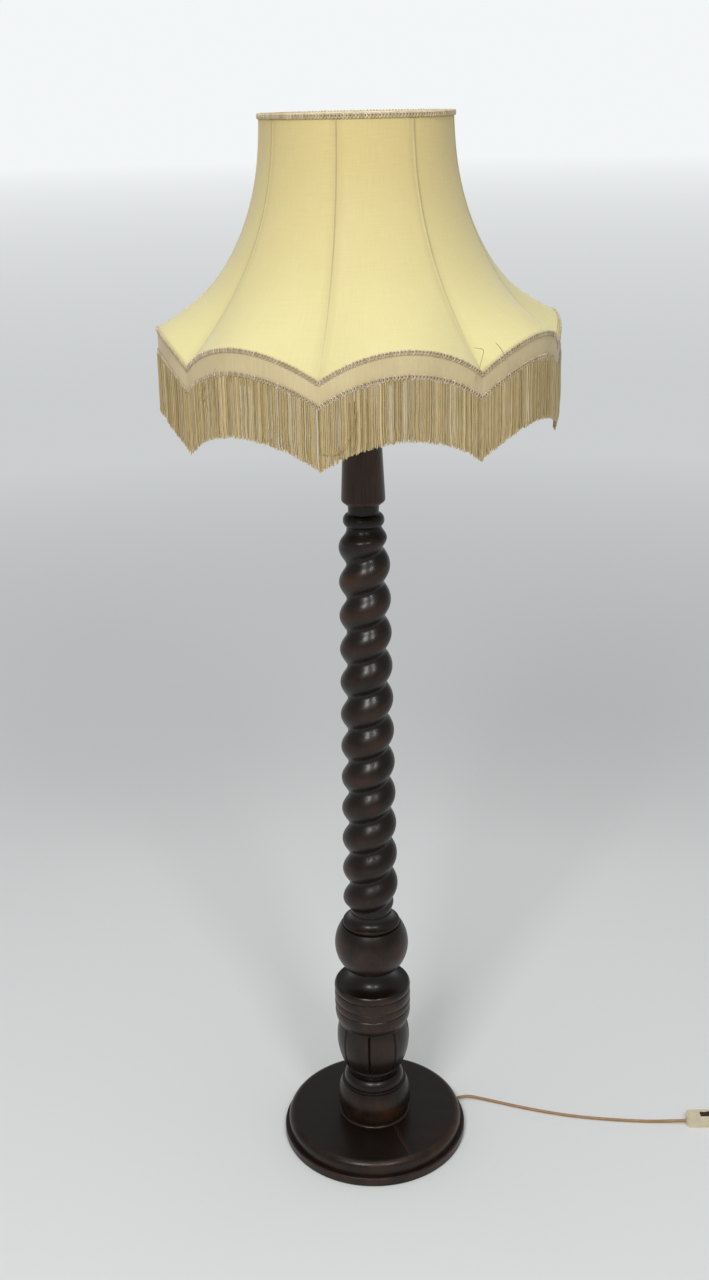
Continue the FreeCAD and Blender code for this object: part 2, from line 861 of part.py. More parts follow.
def frame_ribs():
    """Bent wires from the top ring to the hem wire, one behind each seam."""
    circles = [Part.Wire(Part.Circle(point, direction, frame_wire_radius).toShape())
               for point, direction in rib_stations()]
    rib = Part.makeLoft(circles, True, False)
    return [spun(rib, panel_turn + 2 * pi * k / panel_count) for k in range(panel_count)]


def collar_struts():
    """Short upright wires between the two hem wires, one below each rib."""
    radius = shade_hem_radius - cloth_thickness - frame_gap - frame_wire_radius
    cusp_slope = 2 * scallop_rise / (shade_hem_radius * pi / panel_count)
    top = z_hem - upper_wire_drop - frame_wire_radius - frame_gap
    bottom = z_hem - lower_wire_drop + frame_wire_radius * (1 + cusp_slope) + frame_gap
    strut = cylinder(frame_wire_radius, top - bottom, Vector(radius, 0, bottom))
    return [spun(strut, panel_turn + 2 * pi * k / panel_count) for k in range(panel_count)]


carrier_inner = holder_radius + 0.8
top_ring_radius = shade_top_radius - cloth_thickness - frame_gap - carrier_wire_radius
z_top_ring = z_shade_top - carrier_wire_radius - 1.0


def carrier_ring():
    """Flat ring that sits on the lampholder's shoulder."""
    outer = carrier_inner + carrier_ring_width
    return pipe(outer, carrier_inner, carrier_ring_thickness, Vector(0, 0, z_carrier))


def top_ring():
    """Round wire inside the top edge of the cloth."""
    return Part.makeTorus(top_ring_radius, carrier_wire_radius, Vector(0, 0, z_top_ring))


def carrier_arms():
    """Four wires that slope from the carrier ring up to the top ring, soldered to both."""
    start = Vector(carrier_inner + carrier_ring_width - 0.9, 0, z_carrier + carrier_ring_thickness / 2)
    knee = Vector(start.x + 14.0, 0, start.z)
    end = Vector(top_ring_radius, 0, z_top_ring)
    first = cylinder(carrier_wire_radius, (knee - start).Length, start, knee - start)
    second = cylinder(carrier_wire_radius, (end - knee).Length, knee, end - knee)
    arm = first.multiFuse([Part.makeSphere(carrier_wire_radius, knee), second])
    arm = arm.cut(carrier_ring()).cut(top_ring())
    return [spun(arm, pi / 4 + 2 * pi * k / carrier_arm_count) for k in range(carrier_arm_count)]


# ---------------------------------------------------------------- lead on the floor
z_cord = cord_radius + floor_gap
cord_exit = along_exit(plinth_radius - 1.0 + grommet_flange, flex_height)
switch_left = switch_centre_x - switch_length / 2
switch_right = switch_centre_x + switch_length / 2
route_to_switch = [
    cord_exit,
    Vector(157.0, 65.2, 5.6),
    Vector(170.0, 66.6, 4.4),
    Vector(186.0, 63.0, 3.1),
    Vector(206.0, 56.0, z_cord),
    Vector(231.0, 46.4, z_cord),
    Vector(262.0, 35.0, z_cord),
    Vector(300.0, 22.6, z_cord),
    Vector(343.0, 11.0, z_cord),
    Vector(390.0, 2.6, z_cord),
    Vector(438.0, -3.4, z_cord),
    Vector(486.0, -7.4, z_cord + 0.2),
    Vector(switch_left + cord_entry_depth, switch_centre_y, switch_entry_height),
]


def round_route(points):
    """Straight runs joined by tangent arcs as large as each pair of runs allows."""
    edges = []
    radii = []
    last = points[0]
    for before, corner, after in zip(points, points[1:], points[2:]):
        into = corner - before
        out = after - corner
        reach = 0.45 * min(into.Length, out.Length)
        turn = acos(max(-1.0, min(1.0, into.dot(out) / into.Length / out.Length)))
        radius = reach / tan(turn / 2)
        radii.append(radius)
        into = into.normalize()
        out = out.normalize()
        start = corner - into * reach
        end = corner + out * reach
        inward = (out - into).normalize()
        middle = corner + inward * (radius / cos(turn / 2) - radius)
        edges.append(Part.LineSegment(last, start).toShape())
        edges.append(Part.Arc(start, middle, end).toShape())
        last = end
    edges.append(Part.LineSegment(last, points[-1]).toShape())
    return Part.Wire(edges), radii


def cord_tube(name, points):
    """Round cord along a route, with its bends and its volume printed."""
    path, radii = round_route(points)
    section = Part.Wire(Part.Circle(points[0], points[1] - points[0], cord_radius).toShape())
    tube = path.makePipeShell([section], True, False)
    expected = pi * cord_radius ** 2 * path.Length
    print("%s: bend radii %s" % (name, ", ".join("%.0f" % radius for radius in radii)))
    print("%s: length %.1f, volume ratio %.5f" % (name, path.Length, tube.Volume / expected))
    return tube


# The coil lies on its tie: its turns spiral in, climb one layer, and spiral out again.
coil_low = tie_thickness + 2 * floor_gap + cord_radius
coil_high = coil_low + coil_pitch
coil_reversal = 0.5
coil_turns = coil_turns_in + coil_reversal + coil_turns_out
coil_inner_radius = coil_outer_radius - coil_pitch * coil_turns_in


def coil_state(turn):
    """Radius, height and their rates per turn, at this many turns along the coil."""
    if turn <= coil_turns_in:
        return coil_outer_radius - coil_pitch * turn, coil_low, -coil_pitch, 0.0
    beyond = turn - coil_turns_in - coil_reversal
    if beyond >= 0:
        return coil_inner_radius + coil_pitch * beyond, coil_high, coil_pitch, 0.0
    share = (turn - coil_turns_in) / coil_reversal
    radius = coil_inner_radius - coil_pitch * coil_reversal * min(share, 1 - share)
    height = coil_low + (coil_high - coil_low) * share ** 2 * (3 - 2 * share)
    climb = (coil_high - coil_low) * 6 * share * (1 - share) / coil_reversal
    swell = coil_pitch * (2 * share - 1)
    return radius, height, swell, climb


def coil_point(turn):
    """Centre point and direction; the coil starts at its back and runs clockwise."""
    radius, height, swell, climb = coil_state(turn)
    angle = pi / 2 - 2 * pi * turn
    point = Vector(coil_centre_x + radius * cos(angle), coil_centre_y + radius * sin(angle), height)
    outward = Vector(cos(angle), sin(angle), 0)
    forward = Vector(sin(angle), -cos(angle), 0)
    direction = forward * (2 * pi * radius) + outward * swell + UP * climb
    return point, direction.normalize()


def arc_from(start, direction, end):
    """Arc that leaves start in a direction and reaches end."""
    chord = end - start
    length = chord.Length
    unit = Vector(chord).normalize()
    along = direction.dot(unit)
    aside = direction - unit * along
    if aside.Length < 1e-7:
        return Part.LineSegment(start, end).toShape()
    half_angle = acos(max(-1.0, min(1.0, along)))
    middle = (start + end) * 0.5 + aside.normalize() * (length / 2 * tan(half_angle / 2))
    return Part.Arc(start, middle, end).toShape()


def biarc(start, leave, end, arrive):
    """Two tangent arcs between two points with given directions."""
    gap = end - start
    both = leave + arrive
    spread = 2 * (1 - leave.dot(arrive))
    reach = (-gap.dot(both) + sqrt(gap.dot(both) ** 2 + spread * gap.dot(gap))) / spread
    middle = (start + end + (leave - arrive) * reach) * 0.5
    second = arc_from(end, -arrive, middle)
    through = second.valueAt((second.FirstParameter + second.LastParameter) / 2)
    return [arc_from(start, leave, middle), Part.Arc(middle, through, end).toShape()]


coil_first, coil_first_way = coil_point(0)
coil_last, coil_last_way = coil_point(coil_turns)
coil_entry = coil_first - coil_first_way * (2 * cord_radius)
coil_leave = coil_last + coil_last_way * (2 * cord_radius)


def coil_path():
    edges = [Part.LineSegment(coil_entry, coil_first).toShape()]
    quarters = int(round(coil_turns * 4))
    for k in range(quarters):
        start, leave = coil_point(k / 4)
        end, arrive = coil_point((k + 1) / 4)
        edges += biarc(start, leave, end, arrive)
    edges.append(Part.LineSegment(coil_last, coil_leave).toShape())
    return Part.Wire(edges)


def least_gap(path):
    """Least clear distance between stretches of the coil more than a third of a turn apart."""
    points = path.discretize(Distance=3.0)
    apart = int(coil_inner_radius * 2 * pi / 3 / 3.0)
    nearest = min(points[i].distanceToPoint(points[j])
                  for i in range(len(points)) for j in range(i + apart, len(points)))
    return nearest - 2 * cord_radius


def cord_coil():
    path = coil_path()
    section = Part.Wire(Part.Circle(coil_entry, coil_first_way, cord_radius).toShape())
    coil = path.makePipeShell([section], True, False)
    expected = pi * cord_radius ** 2 * path.Length
    print("coil: length %.1f, volume ratio %.5f" % (path.Length, coil.Volume / expected))
    print("coil: least gap %.2f" % least_gap(path))
    return coil


def cord_tie():
    """Flat strap round the coil's bundle at its left side, three quarters of a turn from the start."""
    bundle_outside = coil_outer_radius - 0.75 * coil_pitch + cord_radius + tie_gap
    bundle_inside = coil_inner_radius - coil_pitch * coil_reversal / 2 - cord_radius - tie_gap
    low = coil_low - cord_radius - floor_gap
    high = coil_high + cord_radius + floor_gap
    width = bundle_outside - bundle_inside
    corner = Vector(coil_centre_x - bundle_outside, coil_centre_y - tie_width / 2, low)
    outer = Part.makeBox(width + 2 * tie_thickness, tie_width, high - low + 2 * tie_thickness,
                         corner - Vector(tie_thickness, 0, tie_thickness))
    return outer.cut(Part.makeBox(width, tie_width, high - low, corner))


plug_height = plug_thickness / 2 + floor_gap
plug_entry = Vector(plug_tip_x + plug_pin_length + plug_length, plug_centre_y, plug_height)
route_to_coil = [
    Vector(switch_right - cord_entry_depth, switch_centre_y, switch_entry_height),
    Vector(619.0, -9.6, 5.2),
    Vector(635.0, -12.2, 4.3),
    Vector(651.0, -15.6, coil_low),
    Vector(668.0, -18.6, coil_low),
    coil_entry - coil_first_way * 15.0,
    coil_entry,
]
route_to_plug = [
    coil_leave,
    coil_leave + coil_last_way * 11.0,
    Vector(674.0, -101.6, 8.6),
    Vector(659.0, -104.2, 7.4),
    plug_entry - Vector(cord_entry_depth, 0, 0),
]


# ---------------------------------------------------------------- in-line switch
def switch_block(bottom, height, inset):
    """Rounded block of the switch's plan, drawn in by an inset."""
    length = switch_length - 2 * inset
    width = switch_width - 2 * inset
    block = Part.makeBox(length, width, height,
                         Vector(switch_centre_x - length / 2, switch_centre_y - width / 2, bottom))
    upright = [edge for edge in block.Edges if abs(edge.BoundBox.ZLength - height) < 1e-6]
    return block.makeFillet(switch_corner - inset, upright)


rocker_axis_height = switch_height - rocker_depth


def switch_spots(spacing):
    """Two places along the switch, either side of its middle."""
    return [Vector(switch_centre_x + sign * spacing / 2, switch_centre_y, 0) for sign in (-1, 1)]


def switch_base():
    """Lower shell: a tray with a cord hole at each end and two screw bosses."""
    height = switch_split - floor_gap
    body = switch_block(floor_gap, height, 0)
    body = body.cut(switch_block(floor_gap + switch_wall, height, switch_wall))
    for spot in switch_spots(switch_screw_spacing):
        body = body.fuse(cylinder(switch_boss_radius, height, spot + UP * floor_gap))
        body = body.cut(cylinder(switch_screw_radius, height, spot + UP * floor_gap))
    for x in (switch_left - 1, switch_right - switch_wall - 1):
        hole = Vector(x, switch_centre_y, switch_entry_height)
        body = body.cut(cylinder(cord_radius + cord_entry_gap, switch_wall + 2, hole, Vector(1, 0, 0)))
    return body


def rocker_pins(radius, spare):
    """Cylinder across the rocker for its pins, or for the holes that they turn in."""
    length = window_width - 2 * rocker_gap + 2 * rocker_pin_length + 2 * spare
    start = Vector(switch_centre_x, switch_centre_y - length / 2, rocker_axis_height)
    return cylinder(radius, length, start, Vector(0, 1, 0))


def switch_cover():
    """Upper shell with the rocker's window, its pin holes and the bosses for the screws."""
    height = switch_height - switch_split
    body = switch_block(switch_split, height, 0)
    end_hollow = switch_block(switch_split, height - switch_wall, switch_wall)
    middle = window_length + 2 * switch_wall
    centre = Vector(switch_centre_x, switch_centre_y, switch_split)
    keep = Part.makeBox(middle, switch_width, height, centre - Vector(middle / 2, switch_width / 2, 0))
    body = body.cut(end_hollow.cut(keep))
    corner = centre - Vector(window_length / 2, window_width / 2, 0)
    body = body.cut(Part.makeBox(window_length, window_width, height, corner))
    for spot in switch_spots(switch_screw_spacing):
        foot = spot + UP * switch_split
        body = body.fuse(cylinder(switch_boss_radius, height - switch_wall / 2, foot))
        body = body.cut(cylinder(switch_screw_radius, switch_screw_top - switch_split, foot))
    return body.cut(rocker_pins(rocker_pin_radius + rocker_pin_gap, rocker_pin_gap))


def switch_rocker():
    """Rocker with a shallow V on top, tilted to its off side about its pins."""
    half = rocker_length / 2
    width = window_width - 2 * rocker_gap
    low = rocker_axis_height - rocker_depth + 0.6
    high = switch_height + rocker_proud
    outline = [(-half, low), (half, low), (half, high), (0, high - 1.6), (-half, high), (-half, low)]
    points = [Vector(switch_centre_x + x, switch_centre_y - width / 2, z) for x, z in outline]
    body = Part.Face(Part.makePolygon(points)).extrude(Vector(0, width, 0))
    body = body.fuse(rocker_pins(rocker_pin_radius, 0))
    pivot = Vector(switch_centre_x, switch_centre_y, rocker_axis_height)
    body.rotate(pivot, Vector(0, 1, 0), -degrees(rocker_tilt))
    return body


def switch_screws():
    low = floor_gap + 0.5
    return [cylinder(switch_screw_radius, switch_screw_top - low, spot + UP * low)
            for spot in switch_spots(switch_screw_spacing)]


def switch_contacts():
    """Two brass blocks on the tray's floor that the rocker bridges."""
    corner = Vector(contact_length / 2, contact_width / 2, -floor_gap - switch_wall)
    return [Part.makeBox(contact_length, contact_width, contact_height, spot - corner)
            for spot in switch_spots(contact_spacing)]


# ---------------------------------------------------------------- plug
def plug_outline(x, width, thickness):
    corners = [(-1, -1), (1, -1), (1, 1), (-1, 1), (-1, -1)]
    middle = Vector(x, plug_centre_y, plug_height)
    return Part.makePolygon([middle + Vector(0, a * width / 2, b * thickness / 2) for a, b in corners])


def plug_pin_starts():
    return [Vector(plug_tip_x, plug_centre_y + sign * plug_pin_spacing / 2, plug_height) for sign in (-1, 1)]


def plug_body():
    """Flat two-pin body that narrows to the neck where the cord goes in."""
    face = plug_tip_x + plug_pin_length
    block = Part.makeBox(plug_face_length, plug_width, plug_thickness,
                         Vector(face, plug_centre_y - plug_width / 2, floor_gap))
    upright = [edge for edge in block.Edges if edge.BoundBox.ZLength > plug_thickness - 1e-6]
    front = [edge for edge in upright if edge.BoundBox.XMin < face + 1e-6]
    block = block.makeFillet(plug_edge_round, front)
    wide = plug_outline(face + plug_face_length, plug_width, plug_thickness)
    narrow = plug_outline(face + plug_length, plug_neck_width, plug_neck_width - 1.0)
    body = block.fuse(Part.makeLoft([wide, narrow], True, True)).removeSplitter()
    for start in plug_pin_starts():
        body = body.cut(cylinder(plug_pin_radius, plug_pin_length + plug_pin_seat, start, Vector(1, 0, 0)))
    hole = plug_entry - Vector(cord_entry_depth + 1, 0, 0)
    return body.cut(cylinder(cord_radius + cord_entry_gap, cord_entry_depth + 2, hole, Vector(1, 0, 0)))


def plug_pins():
    pins = []
    for start in plug_pin_starts():
        pin = cylinder(plug_pin_radius, plug_pin_length + plug_pin_seat, start, Vector(1, 0, 0))
        tip = [edge for edge in pin.Edges if edge.BoundBox.XMax < start.x + 1e-6]
        pins.append(pin.makeFillet(plug_pin_radius * 0.6, tip))
    return pins


save("felt_pad", felt_pad())
save("base_disc", base_disc())
save("flex_clamp", flex_clamp())
save("clamp_screws", clamp_screws())
save("cord_grommet", cord_grommet())
save("base_washer", base_washer())
save("base_nut", base_nut())
save("pedestal_foot", pedestal_foot())
save("gadrooned_vase", gadrooned_vase())
save("ball_knop", ball_knop())
save("twist_column", twist_column())
save("candle_neck", candle_neck())
save("centre_tube", centre_tube())
save("inner_flex", inner_flex())
save("neck_cap", neck_cap())
save("lock_nut", lock_nut())
save("stem_sleeve", stem_sleeve())
save("holder_cap", holder_cap())
save("holder_shell", holder_shell())
save("holder_insert", holder_insert())
save("shade_ring_nut", shade_ring_nut())
save("bulb_cap", bulb_cap())
save("bulb_glass", bulb_glass())
save("shade_cover", shade_cover())
save("collar_band", collar_band())
save("braid_top", braid_top())
save("braid_upper", braid_upper())
save("braid_lower", braid_lower())
save("fringe", fringe())
save("frame_ribs", frame_ribs())
save("upper_hem_wire", hem_wire(upper_wire_drop))
save("lower_hem_wire", hem_wire(lower_wire_drop))
save("collar_struts", collar_struts())
save("carrier_ring", carrier_ring())
save("carrier_arms", carrier_arms())
save("top_ring", top_ring())
save("cord_to_switch", cord_tube("cord_to_switch", route_to_switch))
save("cord_coil", cord_coil())
save("cord_tie", cord_tie())
save("cord_to_coil", cord_tube("cord_to_coil", route_to_coil))
save("cord_to_plug", cord_tube("cord_to_plug", route_to_plug))
save("switch_base", switch_base())
save("switch_cover", switch_cover())
save("switch_rocker", switch_rocker())
save("switch_screws", switch_screws())
save("switch_contacts", switch_contacts())
save("plug_body", plug_body())
save("plug_pins", plug_pins())
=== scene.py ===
from math import cos, exp, pi, radians, sin, sqrt

import bmesh
import bpy
from mathutils import Matrix, Vector


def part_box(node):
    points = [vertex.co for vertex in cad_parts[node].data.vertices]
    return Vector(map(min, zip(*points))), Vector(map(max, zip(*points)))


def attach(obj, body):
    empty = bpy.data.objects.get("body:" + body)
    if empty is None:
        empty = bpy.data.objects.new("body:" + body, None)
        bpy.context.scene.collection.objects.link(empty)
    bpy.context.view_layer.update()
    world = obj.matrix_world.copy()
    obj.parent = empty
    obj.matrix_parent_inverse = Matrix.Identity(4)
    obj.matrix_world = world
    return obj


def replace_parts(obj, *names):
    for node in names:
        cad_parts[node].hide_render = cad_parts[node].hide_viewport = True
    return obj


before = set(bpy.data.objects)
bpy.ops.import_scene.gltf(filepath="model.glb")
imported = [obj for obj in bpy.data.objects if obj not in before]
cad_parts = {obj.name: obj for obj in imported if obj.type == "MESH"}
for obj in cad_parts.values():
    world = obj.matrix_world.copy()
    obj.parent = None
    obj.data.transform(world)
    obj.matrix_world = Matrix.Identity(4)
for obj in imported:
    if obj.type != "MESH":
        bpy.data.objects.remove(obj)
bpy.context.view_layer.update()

bl_info = {
    "name": "Candlestick floor lamp",
    "version": (1, 0, 0),
    "blender": (4, 5, 0),
    "location": "3D View > Sidebar > Floor lamp",
    "description": "Dresses a turned and twisted floor lamp with wood, cloth, braid, fringe and its lead",
    "category": "Object",
}

MM = 0.001
UP = Vector((0, 0, 1))

# ---------------------------------------------------------------- wood: places in metres, and its grain
TWIST_HEIGHTS = (0.4295, 1.0815)
TWIST_ROOTS = (0.0330, 0.0258)
TWIST_DEPTH = 0.0124
BASE_RIM = (0.1500, 0.1540)
BASE_SHOULDER = 0.1435
CRACK_POINT = (0.0300, -0.0436)
CRACK_SLOPE = 0.345
CRACK_FRONT = (-0.052, -0.058)
CRACK_HEIGHTS = (0.026, 0.030)
LINE_PITCH = 0.0024
LINE_RADII = (0.118, 0.128)
UPRIGHT_GRAIN = (300.0, 300.0, 14.0)
BASE_GRAIN = (16.0, 260.0, 90.0)

# ---------------------------------------------------------------- shade
# Outlines below its top, in millimetres: (radius, drop) at a seam and in the middle of a panel
PANELS = 8
PANEL_TURN = radians(33.9)
HALF_PANEL = pi / PANELS
SEAM_OUTLINE = [(131.0, 0.0), (136.0, 60.0), (160.5, 150.0), (209.0, 235.0), (276.0, 311.0)]
PANEL_OUTLINE = [(131.0, 0.0), (135.0, 58.0), (158.0, 145.0), (212.0, 226.0), (283.0, 273.0)]

# Panels and hem, in metres
SHADE_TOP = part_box("shade_cover")[1].z
HEM_CUSP = SHADE_TOP - SEAM_OUTLINE[-1][1] * MM
HEM_RADIUS = SEAM_OUTLINE[-1][0] * MM
HEM_BOW = 7.0 * MM
SCALLOP_RISE = 38.0 * MM
PANEL_ROWS = 57
SEAM_RIDGE = 0.45 * MM
SEAM_RIDGE_WIDTH = 0.0011
SEAM_DIP = 0.55 * MM
SEAM_DIP_PLACE = 0.0035
SEAM_DIP_WIDTH = 0.0025
HEM_FADE_ROWS = 4
CLOTH_ROUND = 0.21
CLOTH_DOWN = 1.18
CLOTH_WEAVE = 0.0011
AGEING_HEIGHTS = (1.36, 1.62)
# Heights over which the painted shadow of the seam wires grows from faint to full
WIRE_SHADOW_HEIGHTS = (1.37, 1.50)

# Collar band below the panels
COLLAR_ROWS = 9
COLLAR_HEIGHT = 0.033
COLLAR_LAP = 0.0005
COLLAR_BOW = 0.0006
COLLAR_INSET = 0.0002
COLLAR_ROUND = 0.28
COLLAR_WEAVE = 0.0012

# Braid: the places of its three paths, its loops and its two cords
TOP_BRAID_OUT = 0.0017
TOP_BRAID_DROP = 0.00225
TOP_BRAID_POINTS = 160
BRAID_OUT = 0.0009
UPPER_BRAID_DROP = 0.0015
LOWER_BRAID_DROP = 0.0315
YARN_RADIUS = 0.00080
LOOP_WIDTH_SHARE = 0.34
LOOP_SLANT = radians(14.0)
CORD_RADIUS = 0.00060
CORD_SHARES = (-0.55, 0.55)

# Fringe: rows of each piece as (seed, distance outward from the hem line)
FRINGE_ROWS = {
    "fringe_threads": ((11, 0.0006), (23, 0.0018)),
    "fringe_threads_behind": ((37, -0.0006), (41, 0.0012)),
}
FRINGE_DROP = 0.0345
FRINGE_FACE = 0.003
THREAD_SWAY = 0.0018
THREAD_LAY = 0.0022
THREAD_JITTER = ((-0.0009, -0.0009, -0.0012), (0.0009, 0.0009, 0.0006))
THREAD_STRETCH = (0.94, 1.0)

# Threads that hang loose: (degrees round, height, distance outward from the fringe's face)
LOOSE_RADIUS = 0.00042
LOOSE_THREADS = [
    [(-59.6, 1.3790, 0.001), (-57.6, 1.3775, 0.004), (-57.0, 1.3750, 0.005), (-57.5, 1.3655, 0.004),
     (-58.2, 1.3510, 0.002), (-58.9, 1.3380, 0.001)],
    [(-53.2, 1.3820, 0.004), (-52.2, 1.3770, 0.005), (-51.0, 1.3710, 0.004), (-49.2, 1.3570, 0.001)],
    [(-26.0, 1.3965, 0.006), (-26.4, 1.3850, 0.006), (-27.4, 1.3750, 0.005), (-30.6, 1.3550, 0.003),
     (-32.6, 1.3430, 0.004), (-36.2, 1.3330, 0.003), (-38.0, 1.3360, 0.001)],
    [(-129.8, 1.3560, 0.003), (-130.6, 1.3480, 0.004), (-132.0, 1.3390, 0.003), (-134.2, 1.3320, 0.004),
     (-136.8, 1.3236, 0.005), (-136.4, 1.3110, 0.004), (-133.6, 1.3150, 0.005), (-131.8, 1.3260, 0.004)],
    [(-131.2, 1.3440, 0.002), (-131.0, 1.3300, 0.004), (-131.4, 1.3150, 0.003), (-131.0, 1.3020, 0.002)],
    [(-135.2, 1.3430, 0.002), (-135.0, 1.3280, 0.003), (-135.3, 1.3130, 0.003), (-134.2, 1.3000, 0.002)],
    [(-91.2, 1.3120, 0.002), (-91.8, 1.3010, 0.003), (-92.5, 1.2870, 0.003), (-94.0, 1.2690, 0.003),
     (-95.7, 1.2590, 0.003), (-97.8, 1.2550, 0.003), (-100.4, 1.2563, 0.002)],
]

# ---------------------------------------------------------------- bulb, in millimetres above its cap
CAP_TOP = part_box("bulb_cap")[1].z
STEM_PROFILE = [(0.0, 0.0), (9.5, 0.0), (5.0, 9.0), (2.4, 18.0), (2.2, 34.0), (3.0, 37.0), (0.0, 38.5)]
STEM_CLEARANCE = 0.5
STEM_SIDES = 20
FILAMENT_ROOT = 35.0
FILAMENT_HEIGHT = 50.0
FILAMENT_RADIUS = 11.0
FILAMENT_SAG = 2.0
FILAMENT_ZIGZAG = 1.2
FILAMENT_STEPS = 8
FILAMENT_WIRE = 0.00035

# ---------------------------------------------------------------- lead: points on the floor, in millimetres
LEAD_RADIUS = 2.5 * MM
FLOOR_LEAD = 2.6
ROUTE_TO_SWITCH = [
    (143.099, 59.273, 6.2), (157.0, 65.2, 5.6), (170.0, 66.6, 4.4), (186.0, 63.0, 3.1),
    (206.0, 56.0, FLOOR_LEAD), (231.0, 46.4, FLOOR_LEAD), (262.0, 35.0, FLOOR_LEAD),
    (300.0, 22.6, FLOOR_LEAD), (343.0, 11.0, FLOOR_LEAD), (390.0, 2.6, FLOOR_LEAD),
    (438.0, -3.4, FLOOR_LEAD), (486.0, -7.4, 2.8), (540.0, -9.0, 5.5),
]
COIL_CENTRE = Vector((704.0, -60.0, 0.0))
COIL_OUTER = 39.8
COIL_PITCH = 5.6
COIL_TURNS_IN = 3.5
COIL_REVERSAL = 0.5
COIL_TURNS = 7.5
COIL_LOW = 3.7
COIL_POINTS_PER_TURN = 16
ROUTE_TO_COIL = [
    (604.0, -9.0, 5.5), (619.0, -9.6, 5.2), (635.0, -12.2, 4.3), (651.0, -15.6, COIL_LOW),
    (668.0, -18.6, COIL_LOW), (684.0, -20.2, COIL_LOW),
]
ROUTE_TO_PLUG = [(688.0, -99.8, 9.3), (674.0, -101.6, 8.6), (659.0, -104.2, 7.4), (641.0, -106.0, 7.1)]

# ---------------------------------------------------------------- tones beside those that a user may change
PORE_BROWN = (0.004, 0.002, 0.0015)
CRACK_BROWN = (0.001, 0.0008, 0.0006)
CLOTH_SLUB = (0.80, 0.72, 0.43)
# Painted shadow of the seam wires seen through the cloth
WIRE_SHADOW_BROWN = (0.27, 0.21, 0.115)
COLLAR_SLUB = (0.70, 0.60, 0.38)
BRAID_BRIGHT = (0.84, 0.74, 0.55)
FRINGE_BRIGHT = (0.80, 0.66, 0.38)
FELT_DARK = (0.030, 0.120, 0.075)
FELT_PALE = (0.070, 0.190, 0.120)
GLASS_TONE = (0.97, 0.97, 0.95, 1.0)
SURROUND = (0.97, 0.99, 1.0, 1.0)
NEAR_GREY = (0.60, 0.615, 0.62)
FAR_WHITE = (0.90, 0.92, 0.93)

# ---------------------------------------------------------------- floor, lights and camera
FLOOR_REACH = 400.0
FLOOR_SIDES = 96
GLOW_RADII = (1.2, 5.0)
WHITE_RADII = (7.0, 36.0)
SURROUND_STRENGTH = 0.36
# Lights as (name, place, aim, size, share of the key power)
LIGHTS = (
    ("left_front_light", (-0.9, -2.5, 3.1), (0.0, 0.0, 0.9), (0.9, 0.7), 1.0),
    ("right_front_light", (0.9, -2.4, 3.1), (0.0, 0.0, 0.9), (0.6, 0.5), 0.5),
    ("overhead_light", (0.0, 0.2, 3.7), (0.0, 0.0, 1.0), (2.6, 2.2), 0.45),
)
CAMERA_PLACE = Vector((0.0, -2.0856, 1.687))
CAMERA_PITCH = radians(20.667)
CAMERA_ROLL = -0.0217
CAMERA_YAW = -0.0083
SENSOR_WIDTH = 36.0
FOCAL_PIXELS = 1465.6
PICTURE_PIXELS = 1280.0


# ---------------------------------------------------------------- sizes and colours a user may change
def tone(name, description, value):
    """Colour setting of a finish."""
    return bpy.props.FloatVectorProperty(
        name=name, description=description, subtype="COLOR", size=3, min=0.0, max=1.0, default=value)


def length(name, description, millimetres, low=0.05, high=400.0):
    """Length setting in metres, given in millimetres."""
    return bpy.props.FloatProperty(
        name=name, description=description, subtype="DISTANCE", unit="LENGTH",
        default=millimetres * MM, min=low * MM, max=high * MM, precision=5)


class WoodSettings(bpy.types.PropertyGroup):
    """Stain and varnish of the standard."""
    stain: tone("Stain", "Dark stain in the hollows", (0.0048, 0.0030, 0.0022))
    grain: tone("Grain", "Brown of the lighter grain", (0.0110, 0.0054, 0.0030))
    rubbed: tone("Rubbed edges", "Red-brown where the stain is worn thin", (0.046, 0.0185, 0.0075))
    neck: tone("Candle neck", "Redder brown of the candle neck", (0.080, 0.030, 0.009))
    roughness: bpy.props.FloatProperty(
        name="Roughness", description="Roughness of the old varnish", default=0.38, min=0.05, max=1.0)


class ShadeSettings(bpy.types.PropertyGroup):
    """Cloth of the shade."""
    cloth: tone("Cloth", "Cream-yellow of the panels", (0.62, 0.56, 0.27))
    aged: tone("Aged cloth", "Tan tinge of the upper panels", (0.58, 0.455, 0.19))
    collar: tone("Collar", "Beige of the plain band above the fringe", (0.60, 0.485, 0.275))
    thickness: length("Thickness", "Thickness of the cloth with its lining", 1.3, 0.2, 3.0)


class TrimSettings(bpy.types.PropertyGroup):
    """Braid and fringe."""
    braid: tone("Braid", "Tan of the braid's loops", (0.64, 0.49, 0.28))
    thread: tone("Fringe", "Gold-brown of the fringe threads", (0.66, 0.475, 0.185))
    loop_pitch: length("Loop pitch", "Distance between the braid's loops", 4.7, 1.0, 20.0)
    braid_height: length("Braid height", "Height of the braid", 7.5, 2.0, 30.0)
    thread_gap: length("Thread spacing", "Distance between fringe threads in a row", 1.75, 0.5, 20.0)
    thread_radius: length("Thread radius", "Radius of one fringe thread", 0.52, 0.1, 4.0)
    fringe_length: length("Fringe length", "Length of the hanging threads", 80.5, 10.0, 300.0)


class LeadSettings(bpy.types.PropertyGroup):
    """Lead and switch."""
    sheath: tone("Sheath", "Gold-brown of the lead", (0.33, 0.19, 0.08))
    shell: tone("Switch shell", "Cream of the switch and the plug", (0.72, 0.63, 0.44))
    rocker: tone("Rocker", "Dark rocker of the switch", (0.030, 0.010, 0.009))


class StudioSettings(bpy.types.PropertyGroup):
    """Floor, light and camera."""
    floor: tone("Floor", "Pale floor", (0.80, 0.81, 0.81))
    key_power: bpy.props.FloatProperty(
        name="Key light", description="Power of the left front light in watts",
        default=54.0, min=0.0, max=2000.0)


